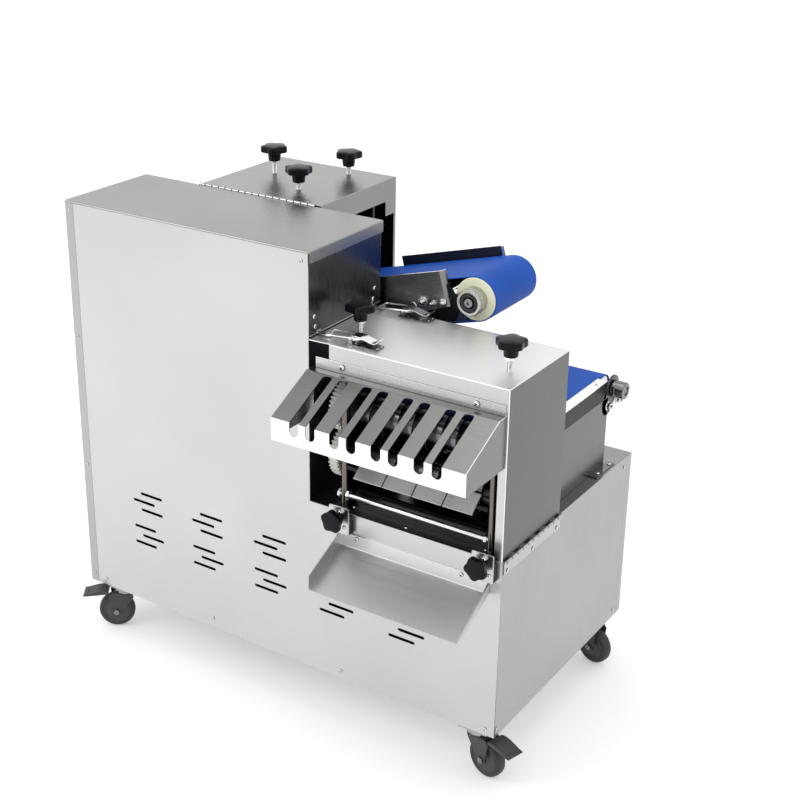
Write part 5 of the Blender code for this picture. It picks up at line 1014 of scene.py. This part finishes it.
# Guide rods of the lower head: two upright steel rods in front of the side plates, and a tie rod across
# them with a nut at its end.
# The rods' steel is toned dark brown-grey: the brown is aged steel, the darkness is painted shade of the dark
# inside they reflect.
aged_steel_painted_shade = brushed("aged_steel_painted_shade", (0.170, 0.155, 0.137), 0.20, (200, 200, 20), 0.12)
GUIDE_RODS = (0.631, 0.9285)
ROD_Y = 0.0175
TIE_Z = 0.377
ROD_FOOT = CABINET_HEIGHT + GAP
rods = bmesh.new()
for x in GUIDE_RODS:
    spin(rods, "z", (x, ROD_Y), [(0.0090, ROD_FOOT), (0.0090, ROD_FOOT + 0.003),
                                 (0.0060, ROD_FOOT + 0.0034),
                                 (0.0060, 0.5588), (0.0048, 0.5603)], 28)
piece("guide_rods_upright", rods, aged_steel_painted_shade, "machine", "guide_rods", width=0)
tie = bmesh.new()
spin(tie, "x", (ROD_Y, TIE_Z), [(0.0048, GUIDE_RODS[0] - 0.011), (0.0048, GUIDE_RODS[1])], 24)
nut(tie, "left", (GUIDE_RODS[0] - 0.006, ROD_Y, TIE_Z), 0.0155, 0.0, 0.0055)
nut(tie, "right", (GUIDE_RODS[0] + 0.006, ROD_Y, TIE_Z), 0.0155, 0.0, 0.0055)
nut(tie, "left", (GUIDE_RODS[1] - 0.006, ROD_Y, TIE_Z), 0.0155, 0.0, 0.0055)
piece("tie_rod", tie, stud_steel, "machine", width=0)

# Front combs: four sloping steel plates side by side, welded at the back to a black bar between the
# side plates of the head.
COMB_SLOPE = math.radians(40)
COMB_THICK = 0.003
COMB_RUN = 0.040
COMB_FRONT = 0.422
COMB_FIRST = 0.66155
COMB_PITCH = 0.0603
COMB_WIDE = 0.058
comb_steel = brushed("comb_steel", (0.62, 0.62, 0.615), 0.32, (6, 400, 400), 0.06)


def along_comb(run, rise=0.0):
    """A place on the comb's section: run up its slope, and rise out of its face."""
    y = run * math.cos(COMB_SLOPE) - rise * math.sin(COMB_SLOPE)
    return y, COMB_FRONT + run * math.sin(COMB_SLOPE) + rise * math.cos(COMB_SLOPE)


combs, comb_bar = bmesh.new(), bmesh.new()
for k in range(4):
    start = COMB_FIRST + k * COMB_PITCH
    section = [along_comb(0.0015), along_comb(0, 0.0012), along_comb(0, COMB_THICK - 0.0004),
               along_comb(0.0005, COMB_THICK),
               along_comb(COMB_RUN, COMB_THICK), along_comb(COMB_RUN)]
    slab(combs, "x", section, start, start + COMB_WIDE)
spin(comb_bar, "x", along_comb(0.5 * COMB_RUN, COMB_THICK / 2 - 0.005), [
    (0.0042, 0.6375), (0.0050, 0.6383), (0.0050, 0.9212), (0.0042, 0.9220)], 28)
piece("comb_plates", combs, comb_steel, "machine", "comb_rack", width=0.0002)
piece("comb_bar", comb_bar, black_coat_and_painted_shade, "machine", width=0)

# Cutters of the lower head: two stacks of round blades that cut the strips into cubes, driven through
# a pair of white nylon gears on the left.
LOWER_BLADES = 9
LOWER_TOP_Z = 0.521
white_nylon = moulded("white_nylon", (0.97, 0.97, 0.93), 0.40, 500.0, 0.03, 0.02)
for which, z, start, shift, phase in (
    ("bottom", LOWER_SHAFT_Z, 0.5453, 0.0, math.pi / 2),
    ("top", LOWER_TOP_Z, 0.585, 0.25, -math.pi / 2 + math.pi / 36),
):
    name = "lower_cutter_" + which
    shape = bmesh.new()
    cutter(shape, "x", (LOWER_SHAFT_Y, z), (start, 0.938), (0.638, 0.924), 0.665 + shift * BLADE_PITCH,
           BLADE_PITCH,
           LOWER_BLADES)
    piece(name + "_blades", shape, painted_shade_blade_steel, name, name, width=0, angle=25)
    wheel = bmesh.new()
    gear(wheel, "x", (LOWER_SHAFT_Y, z), 36, 0.587, phase, 0.022)
    piece("lower_gear_wheel_" + which, wheel, white_nylon, name, "lower_gear_" + which, width=0, angle=30)

# Cover of the lower head: 2 mm stainless folded over the top and right, with narrow returns at front
# and back. It swings to the right with the guard on it.
COVER_LEFT = 0.5675
COVER_BACK = 0.211
COVER_TOP = 0.6643
COVER_LOW = 0.3516
RETURN_LEFT = 0.6095
RETURN_LOW = 0.6223
SIDE_RETURN = 0.9445
BACK_LOW = 0.6493
right = CABINET_WIDTH
painted_shade_cover_side = brushed("painted_shade_cover_side", (0.148, 0.148, 0.146), 0.30, (1500, 1500, 9), 0.10)
painted_light_cover_top = brushed("painted_light_cover_top", (0.86, 0.86, 0.85), 0.42, (9, 1500, 1500), 0.03)
# Right-facing faces take a dark copy of the sheet as painted shade, the top a light copy as painted light, the
# front faces the light front copy.
folded("lower_cover_sheet", [
    plane("z", COVER_TOP, (COVER_LEFT, 0), (RETURN_LEFT, 0), (right, 0), (right, COVER_BACK),
          (COVER_LEFT, COVER_BACK)),
    plane("y", 0, (RETURN_LEFT, COVER_TOP), (right, COVER_TOP), (right, COVER_LOW),
          (SIDE_RETURN, COVER_LOW),
          (SIDE_RETURN, RETURN_LOW), (RETURN_LEFT, RETURN_LOW)),
    plane("x", right, (0, COVER_TOP), (COVER_BACK, COVER_TOP), (COVER_BACK, COVER_LOW), (0, COVER_LOW)),
    plane("y", COVER_BACK, (COVER_LEFT, COVER_TOP), (right, COVER_TOP), (right, COVER_LOW),
          (right - 0.004, COVER_LOW),
          (right - 0.004, BACK_LOW), (COVER_LEFT, BACK_LOW)),
], painted_light_cover_top, "lower_cover", "lower_cover", faces=(((1, 0, 0), painted_shade_cover_side), ((0, -1, 0), upright_sheet)))

# Hinge of that cover: a piano hinge along the deck's right edge. Its leaf is screwed to the cabinet's
# side below the deck.
LOWER_HINGE_X = 0.9643
HINGE_RUN = (0.006, 0.211)
leaf = bmesh.new()
block(leaf, (0.9603, HINGE_RUN[0], 0.3250), (0.9616, HINGE_RUN[1], 0.3467))
piece("lower_hinge_leaf_plate", leaf, hinge_steel, "machine", "lower_hinge_leaf")
hinge_pin = bmesh.new()
spin(hinge_pin, "y", (LOWER_HINGE_X, CABINET_HEIGHT),
     [(HINGE_PIN, HINGE_RUN[0]), (HINGE_PIN, HINGE_RUN[1])], 16)
piece("lower_hinge_pin", hinge_pin, hinge_steel, "machine", width=0)
fixed_leaf = [(0.9603, 0.3450), (0.9615, 0.3450), (0.9615, 0.3500), (0.9603, 0.3500)]
moving_leaf = [(0.9585, 0.3520), (0.9632, 0.3520), (0.9632, 0.3532), (0.9585, 0.3532)]
for moving, body, tab in ((False, "machine", fixed_leaf), (True, "lower_cover", moving_leaf)):
    name = "lower_hinge_moving_knuckles" if moving else "lower_hinge_fixed_knuckles"
    knuckles(name, "y", (LOWER_HINGE_X, CABINET_HEIGHT), *HINGE_RUN, 11, moving, hinge_steel, body, tab)
pan_heads("lower_hinge_screws", "machine", "right", [(0.9616, y, 0.3300) for y in (0.018, 0.1085, 0.199)],
          0.0038)

# Guard under the cover's front edge: 1.5 mm sheet folded to a slope and a lip, with four pairs of slots
# that show the cutters but keep hands out. A screwed strip holds it.
GUARD_SHEET = 0.0015
GUARD_LEFT, GUARD_RIGHT = 0.575, 0.955
GUARD_BACK = -GAP
GUARD_TOP = 0.617
GUARD_LEDGE = -0.0195
GUARD_FRONT = -0.1235
GUARD_LIP = 0.565
GUARD_LOW = 0.5240
SLOT_HALF = 0.0095
SLOT_FOOT = 0.541
SLOT_END = -0.0215
SLOT_ROUND = 0.0055
slope = (GUARD_TOP - GUARD_LIP) / (GUARD_LEDGE - GUARD_FRONT)
slot_high = GUARD_TOP + slope * (SLOT_END - GUARD_LEDGE)
rows = [(GUARD_BACK, GUARD_TOP), (GUARD_LEDGE, GUARD_TOP), (SLOT_END, slot_high),
        (SLOT_END - SLOT_ROUND, slot_high - slope * SLOT_ROUND), (GUARD_FRONT, GUARD_LIP),
        (GUARD_FRONT, SLOT_FOOT + SLOT_HALF), (GUARD_FRONT, GUARD_LOW)]
slots = [0.624 + 0.0815 * pair + 0.033 * member for pair in range(4) for member in range(2)]
columns = [GUARD_LEFT] + [x + side * SLOT_HALF for x in slots for side in (-1, 1)] + [GUARD_RIGHT]
panels = []
for k, (a, b) in enumerate(zip(columns, columns[1:])):
    slotted = k % 2 == 1
    spans = zip(rows[:2], rows[1:3]) if slotted else zip(rows, rows[1:])
    for (y_back, z_back), (y_front, z_front) in spans:
        panels.append([(a, y_back, z_back), (b, y_back, z_back), (b, y_front, z_front),
                       (a, y_front, z_front)])
    if slotted:
        high = arc((a + SLOT_ROUND, -SLOT_ROUND), SLOT_ROUND - 0.0003, 180, 90, 4)
        high += arc((b - SLOT_ROUND, -SLOT_ROUND), SLOT_ROUND - 0.0003, 90, 0, 4)
        edge = [(a, -SLOT_ROUND)] + high + [(b, -SLOT_ROUND), (b, 0), (a, 0)]
        panels.append([(u, SLOT_END + v, slot_high + slope * v) for u, v in edge])
        foot = arc(((a + b) / 2, SLOT_FOOT + SLOT_HALF), SLOT_HALF, 180, 360, 12)
        panels.append([(x, GUARD_FRONT, z) for x, z in foot] + [(b, GUARD_FRONT, GUARD_LOW),
                                                                (a, GUARD_FRONT, GUARD_LOW)])
for x in (GUARD_LEFT, GUARD_RIGHT):
    panels.append([(x, y, z) for y, z in rows] + [(x, GUARD_BACK, GUARD_LOW)])
painted_shade_guard_slope = brushed("painted_shade_guard_slope", (0.240, 0.240, 0.237), 0.30, (6, 600, 600), 0.06)
# Slope, top and right-facing faces take a darker copy as painted shade; the front lip and the rest take the
# near-white copy as painted highlight.
folded("slotted_guard_sheet", panels, painted_highlight_steel, "lower_cover", "slotted_guard", thickness=GUARD_SHEET,
       bend=0.0018,
       faces=(((0, -0.447, 0.894), painted_shade_guard_slope), ((0, 0, 1), painted_shade_guard_slope), ((1, 0, 0), painted_shade_guard_slope)))
strip = bmesh.new()
block(strip, (0.583, -0.0023, GUARD_TOP + GAP), (GUARD_RIGHT, GUARD_BACK, 0.637))
piece("guard_strip", strip, upright_sheet, "lower_cover", width=0.0004)
pan_heads("guard_strip_screws", "lower_cover", "front",
          [(0.6386, -0.0023, 0.628), (0.9019, -0.0023, 0.627)], 0.0060)

# Star knobs of that cover, each on a long stud with a hexagon collar under its hub.
for which, x, y, stem, twist in (("left", 0.617, 0.085, 0.020, 0.1), ("right", 0.9225, 0.0685, 0.027, 0.7)):
    name = "lower_knob_" + which
    star_knob(name, name, "top", (x, y, COVER_TOP), stem, 0.016, collar=True, twist=twist)

# Draw latches of that cover: a base plate toned dark as painted shade, and a bright plated lever and
# wire bail, which pull on a keeper on the tower wall.
latch_chrome = brushed("latch_chrome", (0.90, 0.90, 0.90), 0.11, (150, 150, 150), 0.04, 0.02)
LATCH_SEAT = COVER_TOP + GAP
LATCH_SHEET = 0.0015
PIVOT = (0.640, 0.6741)
BAIL_PIN = (0.653, 0.6786)
BAIL_HOOK = (0.5905, 0.6735)
BAIL_HALF = 0.0139
WIRE = 0.0015


def wire_bail(name, y, body, node_name):
    """Closed loop of wire through the lever, with rounded corners at the hook."""
    curve = bpy.data.curves.new(name, "CURVE")
    curve.dimensions = "3D"
    curve.bevel_depth = WIRE
    curve.bevel_resolution = 5
    spline = curve.splines.new("POLY")
    bend = 0.004
    plan = [(BAIL_PIN[0], y - BAIL_HALF), (BAIL_PIN[0], y + BAIL_HALF)]
    plan += arc((BAIL_HOOK[0] + bend, y + BAIL_HALF - bend), bend, 90, 180, 6)
    plan += arc((BAIL_HOOK[0] + bend, y - BAIL_HALF + bend), bend, 180, 270, 6)
    spline.points.add(len(plan) - 1)
    for slot, (x, across) in zip(spline.points, plan):
        share = (x - BAIL_HOOK[0]) / (BAIL_PIN[0] - BAIL_HOOK[0])
        slot.co = (x, across, BAIL_HOOK[1] + share * (BAIL_PIN[1] - BAIL_HOOK[1]), 1)
    spline.use_cyclic_u = True
    return fit(name, curve, latch_chrome, body, node_name)


for which, y in (("front", 0.030), ("back", 0.196)):
    base = bmesh.new()
    half = 0.014
    edge = arc((0.636, y + half - 0.004), 0.004, 180, 90, 5) + arc((0.664, y + half + 0.0035), 0.0055, 220,
                                                                   320, 6)
    edge += arc((0.692, y + half - 0.004), 0.004, 90, 0, 5)
    edge += [(x, 2 * y - v) for x, v in reversed(edge)]
    slab(base, "z", edge, LATCH_SEAT, LATCH_SEAT + LATCH_SHEET)
    for side in (-1, 1):
        ear = [(0.6355, LATCH_SEAT)] + arc(PIVOT, 0.0038, 180, 0, 8) + [(0.6445, LATCH_SEAT)]
        inner, outer = sorted((y + side * 0.0103, y + side * 0.0118))
        slab(base, "y", ear, inner, outer)
    # The base plate takes a dark steel as painted shade under the lever.
    piece("latch_base_plate_" + which, base, hub_steel, "lower_cover", "latch_base_" + which, width=0.0002)
    pan_heads("latch_rivets_" + which, "lower_cover", "top", [
        (x, y + v, LATCH_SEAT + LATCH_SHEET) for x in (0.6375, 0.6925) for v in (-0.0065, 0.0065)], 0.0022)
    lever = bmesh.new()
    line = [(0.6375, 0.6772), (0.6395, 0.6790), (0.6440, 0.6802), (0.6530, 0.68095), (0.6600, 0.6802),
            (0.6700, 0.6776),
            (0.6800, 0.6752), (0.6860, 0.6748), (0.6905, 0.6759), (0.6935, 0.6782), (0.6952, 0.6812)]
    above, below = [], []
    for k, (x, z) in enumerate(line):
        first, last = line[max(k - 1, 0)], line[min(k + 1, len(line) - 1)]
        run = Vector((last[0] - first[0], last[1] - first[1])).normalized() * LATCH_SHEET / 2
        above.append((x - run.y, z + run.x))
        below.append((x + run.y, z - run.x))
    slab(lever, "y", above + below[::-1], y - 0.010, y + 0.010)
    for side in (-1, 1):
        inner, outer = sorted((y + side * 0.0085, y + side * 0.0100))
        cheek = arc(PIVOT, 0.0030, 150, 300, 8) + [(0.6560, 0.6752), (0.6640, 0.6788), (0.6530, 0.6812),
                                                   (0.6400, 0.6795)]
        slab(lever, "y", cheek, inner, outer)
    spin(lever, "y", PIVOT, [(0.0014, y - 0.0124), (0.0020, y - 0.0118), (0.0020, y + 0.0118),
                             (0.0014, y + 0.0124)], 16)
    piece("latch_lever_plate_" + which, lever, latch_chrome, "latch_lever_" + which, "latch_lever_" + which,
          width=0.0003,
          angle=40)
    wire_bail("latch_bail_wire_" + which, y, "latch_bail_" + which, "latch_bail_" + which)
    keeper = bmesh.new()
    wall = TOWER_WIDTH
    shelf = 0.6685
    lip = 0.5931
    section = [(wall, shelf - LATCH_SHEET)] + arc((lip - 0.001, shelf + 0.001), 0.0025, 270, 360, 5)
    section += [(lip + 0.0015, BAIL_HOOK[1]), (lip, BAIL_HOOK[1])] + arc((lip - 0.001, shelf + 0.001),
                                                                         0.001, 360, 270, 4)
    section += [(wall + LATCH_SHEET, shelf), (wall + LATCH_SHEET, 0.6735), (wall, 0.6735)]
    slab(keeper, "y", section, y - 0.005, y + 0.005)
    piece("latch_keeper_" + which, keeper, latch_chrome, "machine", width=0.0003)

# Discharge chute: a tray of 2 mm sheet that slopes out of the front under the cutters, hung on two
# screws through its back.
CHUTE = (0.633, 0.939)
CHUTE_BACK = 0.287
CHUTE_FRONT = 0.240
CHUTE_REACH = 0.1003
CHUTE_WALL = 0.026
CHUTE_LIP = 0.006
painted_light_chute_back = brushed("painted_light_chute_back", (0.76, 0.76, 0.755), 0.30, (6, 500, 500), 0.03)
chute_sheet = brushed("chute_sheet", (0.58, 0.58, 0.575), 0.42, (6, 500, 500))
left, right = CHUTE
back, reach = -GAP, -CHUTE_REACH
floor_back, floor_front = CHUTE_BACK - SHEET, CHUTE_FRONT - SHEET
rim = CHUTE_BACK + CHUTE_WALL
# Faces that look to the front or back take a lighter copy of the sheet, as painted light.
folded("discharge_chute_sheet", [
    [(left, back, floor_back), (right, back, floor_back), (right, reach, floor_front),
     (left, reach, floor_front)],
    plane("x", left, (back, floor_back), (reach, floor_front), (reach, CHUTE_FRONT + CHUTE_WALL),
          (back, rim)),
    plane("x", right, (back, floor_back), (reach, floor_front), (reach, CHUTE_FRONT + CHUTE_LIP),
          (back - 0.004, rim - 0.004), (back, rim - 0.004), (back, rim)),
    plane("y", back, (left, floor_back), (right, floor_back), (right, rim), (left, rim)),
], chute_sheet, "machine", "discharge_chute", faces=(((0, -1, 0), painted_light_chute_back), ((0, 1, 0), painted_light_chute_back)))
pan_heads("chute_screws", "machine", "front", [(0.670, -SHEET - GAP, 0.306), (0.885, -SHEET - GAP, 0.306)],
          0.0042)

# Clamps of the cutter cassette: a bright plate on a black spacer block at each side, with a small star
# knob, a cap screw and a cap nut.
for which, x in (("left", 0.639), ("right", 0.930)):
    half = 0.021
    plate = bmesh.new()
    slab(plate, "y", arc((x + half - 0.003, 0.364), 0.003, 0, 90, 4) + arc((x - half + 0.003, 0.364), 0.003,
                                                                           90, 180, 4)
         + [(x - half, 0.3145), (x + half, 0.3145)], -0.0138, -0.0108)
    piece("clamp_plate_" + which, plate, upright_sheet, "machine", width=0.0005)
    spacer = bmesh.new()
    block(spacer, (x - half, -0.0108, 0.3145), (x + half, -GAP, CABINET_HEIGHT))
    piece("clamp_spacer_" + which, spacer, black_coat_and_painted_shade, "machine", "clamp_" + which, width=0.0006)
    knob = "clamp_knob_" + which
    star_knob(knob, knob, "front", (x, -0.0138, 0.347), 0.002, 0.0065, scale=0.8,
              twist=0.35 if which == "left" else 0.8)
pan_heads("clamp_screws", "machine", "front", [(0.6500, -0.0138, 0.3290), (0.9440, -0.0138, 0.3290)],
          0.0036)
cap_nuts = bmesh.new()
for x in (0.6450, 0.9350):
    nut(cap_nuts, "front", (x, -0.0138, 0.3600), 0.0080, 0.0, 0.0035, 0.3, 0.003)
piece("clamp_cap_nuts", cap_nuts, stud_steel, "machine", width=0)

# Gear motors in the tower: cast gearbox on a stand with a finned motor behind it, painted dark grey.
motor_paint = moulded("motor_paint", (0.10, 0.12, 0.15), 0.42, 600.0, 0.10)
for name in ("upper_gear_motor", "lower_gear_motor"):
    dress(name, motor_paint, 0.002)

# Main switch: a black turned handle with a pointer rib on the left wall.
dress("main_switch", knob_black, 0.0010)
pointer = bmesh.new()
block(pointer, (-0.0243, 0.0575, 0.683), (-0.0205, 0.0625, 0.717))
piece("switch_pointer", pointer, moulded("pointer_white", (0.80, 0.80, 0.78), 0.45), "main_switch",
      width=0.0008)

# Casters: 75 mm rubber-tyred wheels in black pressed forks, with an axle bolt and a hub. Each is
# turned as it stands; the two front ones have a brake pedal.
fork_paint = moulded("fork_paint", (0.042, 0.042, 0.045), 0.40, 420.0, 0.25)
tyre_rubber = moulded("tyre_rubber", (0.030, 0.030, 0.032), 0.55, 700.0, 0.12)
hub_plastic = moulded("hub_plastic", (0.060, 0.060, 0.064), 0.45, 400.0, 0.08)
CASTER_TOP = -0.0153
AXLE = (0.022, -0.0625)
WHEEL = 0.0375
WHEEL_HALF = 0.012
LEG_SHEET = 0.0025
LEG_INNER = 0.0145


def swung(shape, x, y, angle):
    """Turns a caster's solids, built round the origin, to their place under the floor."""
    bmesh.ops.transform(shape, matrix=Matrix.Translation((x, y, 0)) @ Matrix.Rotation(angle, 4, "Z"),
                        verts=shape.verts)
    return shape


def mirrored(half):
    """A turned profile from its left half."""
    return half + [(r, -along) for r, along in reversed(half)]


for which, x, y, angle in (
    ("front_left", 0.068, 0.031, 215), ("front_right", 0.915, 0.031, -16),
    ("back_left", 0.068, 0.470, 200), ("back_right", 0.915, 0.470, -16),
):
    angle = math.radians(angle)
    fork = bmesh.new()
    low = CASTER_TOP - 0.005
    outer = LEG_INNER + LEG_SHEET
    spin(fork, "z", (0, 0), [(0.0200, low), (0.0230, CASTER_TOP - 0.0012), (0.0235, CASTER_TOP),
                             (0.0060, CASTER_TOP)], 40)
    slab(fork, "y", [(-0.015, low), (AXLE[0] + 0.004, low), (AXLE[0] + 0.004, low + 0.0025),
                     (-0.015, low + 0.0025)],
         -outer, outer)
    leg = [(-0.015, low + 0.0025), (-0.015, low - 0.008)] + arc((AXLE[0] - 0.0005, AXLE[1]), 0.0095, 205,
                                                                350, 8)
    leg += [(AXLE[0] + 0.015, low - 0.004), (AXLE[0] + 0.008, low + 0.0025)]
    for side in (-1, 1):
        inner, away = sorted((side * LEG_INNER, side * outer))
        slab(fork, "y", leg, inner, away)
    piece("caster_fork_sheet_" + which, swung(fork, x, y, angle), fork_paint, "caster_fork_" + which,
          "caster_fork_" + which, width=0.0008, segments=3)
    axle = bmesh.new()
    reach = outer + 0.0040
    spin(axle, "y", AXLE, [(0.0030, -reach - 0.0004), (0.0040, -reach + 0.0004), (0.0040, reach - 0.0004),
                           (0.0030, reach + 0.0004)], 20)
    for face, side in (("front", -1), ("back", 1)):
        nut(axle, face, (AXLE[0], side * outer, AXLE[1]), 0.0115, 0.0, 0.0036)
    piece("caster_axle_" + which, swung(axle, x, y, angle), hub_steel, "caster_fork_" + which, width=0)
    wheel, hub = bmesh.new(), bmesh.new()
    w = WHEEL_HALF
    tyre_half = [(0.0270, -w + 0.0015), (0.0300, -w + 0.0002), (0.0330, -w + 0.0008), (0.0357, -w + 0.0030),
                 (0.0370, -w + 0.0062), (WHEEL, -w + 0.0100)]
    spin(wheel, "y", AXLE, mirrored(tyre_half), 64, True)
    piece("caster_tyre_" + which, swung(wheel, x, y, angle), tyre_rubber, "caster_wheel_" + which,
          "caster_wheel_" + which, width=0, angle=50)
    hub_half = [(0.0043, -w), (0.0100, -w), (0.0112, -w + 0.0015), (0.0125, -w + 0.0030),
                (0.0240, -w + 0.0040),
                (0.0270, -w + 0.0018)]
    spin(hub, "y", AXLE, mirrored(hub_half), 48, True)
    piece("caster_hub_" + which, swung(hub, x, y, angle), hub_plastic, "caster_wheel_" + which, width=0,
          angle=40)
    if which.startswith("front"):
        pedal = bmesh.new()
        start, end, half = 0.0376, 0.0900, 0.018
        pad = [(x, CASTER_TOP + rise) for x, rise in (
            (start, 0), (start + 0.008, 0.0018), (start + 0.018, 0.0016), (start + 0.030, -0.0012),
            (end - 0.010, -0.0052), (end - 0.002, -0.0062), (end, -0.0080), (end - 0.001, -0.0098),
            (end - 0.008, -0.0096), (start, -0.0050))]
        slab(pedal, "y", pad, -half, half)
        for k in range(4):
            at = end - 0.010 - 0.006 * k
            level = CASTER_TOP - 0.0050 + 0.0008 * k
            slab(pedal, "y", [(at, level - 0.001), (at + 0.002, level - 0.001),
                              (at + 0.0016, level + 0.0008),
                              (at + 0.0004, level + 0.0008)], -half + 0.003, half - 0.003)
        piece("brake_pedal_pad_" + which, swung(pedal, x, y, angle), fork_paint, "brake_pedal_" + which,
              "brake_pedal_" + which, width=0.0010, segments=3)

# Studio: a plain pale floor under the casters, a level white surround, and two broad soft lamps.
def plain_ray(tree):
    """One for a camera, glossy or transmission ray, and otherwise nought."""
    rays = node(tree, "LightPath").outputs
    first = node(tree, "Math", {0: rays["Is Camera Ray"], 1: rays["Is Glossy Ray"]}, operation="MAXIMUM")
    both = node(tree, "Math", {0: first.outputs[0], 1: rays["Is Transmission Ray"]}, operation="MAXIMUM")
    return both.outputs[0]


ground = bpy.data.meshes.new("studio_floor")
ground.from_pydata([(-60, -60, 0), (60, -60, 0), (60, 60, 0), (-60, 60, 0)], [], [(0, 1, 2, 3)])
floor_piece = bpy.data.objects.new("studio_floor", ground)
floor_piece.location = (0, 0, corner.z - 0.100 - 0.0005)
bpy.context.scene.collection.objects.link(floor_piece)
floor_paint, floor_tree, floor_shader = finish("studio_floor", Roughness=0.9)
floor_shader.inputs["Base Color"].default_value = (0.90, 0.90, 0.90, 1)
floor_shader.inputs["Specular IOR Level"].default_value = 0
floor_shader.inputs["Emission Color"].default_value = (1, 1, 1, 1)
glow = node(floor_tree, "MapRange", {"Value": plain_ray(floor_tree), "To Min": 0.0, "To Max": 0.34})
floor_tree.links.new(glow.outputs["Result"], floor_shader.inputs["Emission Strength"])
ground.materials.append(floor_paint)

world = bpy.data.worlds.new("studio")
bpy.context.scene.world = world
world.use_nodes = True
sky = world.node_tree
surround = sky.nodes["Background"]
surround.inputs["Color"].default_value = (1, 1, 1, 1)
strength = node(sky, "MapRange", {"Value": plain_ray(sky), "To Min": 0.86, "To Max": 1.0})
sky.links.new(strength.outputs["Result"], surround.inputs["Strength"])


def lamp(name, where, aim, size, power):
    """A broad soft lamp aimed at a point of the machine."""
    light = bpy.data.lights.new(name, "AREA")
    light.shape = "DISK"
    light.size = size
    light.energy = power
    made = bpy.data.objects.new(name, light)
    bpy.context.scene.collection.objects.link(made)
    made.location = corner + Vector(where)
    made.rotation_euler = (Vector(where) - Vector(aim)).to_track_quat("Z", "Y").to_euler()
    return made


lamp("key_lamp", (-1.6, -2.2, 2.4), (0.4, 0.1, 0.4), 1.8, 22)
lamp("top_lamp", (0.5, 0.2, 3.2), (0.5, 0.2, 0.5), 2.0, 10)

# Camera: the photograph's viewpoint, 35 degrees round to the right and 22 degrees above.
EYE = (1.9431, -1.8940, 1.5726)
AZIMUTH = math.radians(34.684)
HEIGHT = math.radians(22.029)
camera = bpy.data.objects.new("camera", bpy.data.cameras.new("camera"))
bpy.context.scene.collection.objects.link(camera)
back = Vector((math.sin(AZIMUTH) * math.cos(HEIGHT), -math.cos(AZIMUTH) * math.cos(HEIGHT),
               math.sin(HEIGHT)))
right = Vector((math.cos(AZIMUTH), math.sin(AZIMUTH), 0))
turn = Matrix((right, back.cross(right), back)).transposed()
camera.matrix_world = Matrix.Translation(corner + Vector(EYE)) @ turn.to_4x4()
camera.data.sensor_width = 36
camera.data.lens = 65.53
camera.data.shift_x = 0.075
camera.data.shift_y = -0.05
bpy.context.scene.camera = camera
bpy.context.scene.view_settings.view_transform = "Standard"
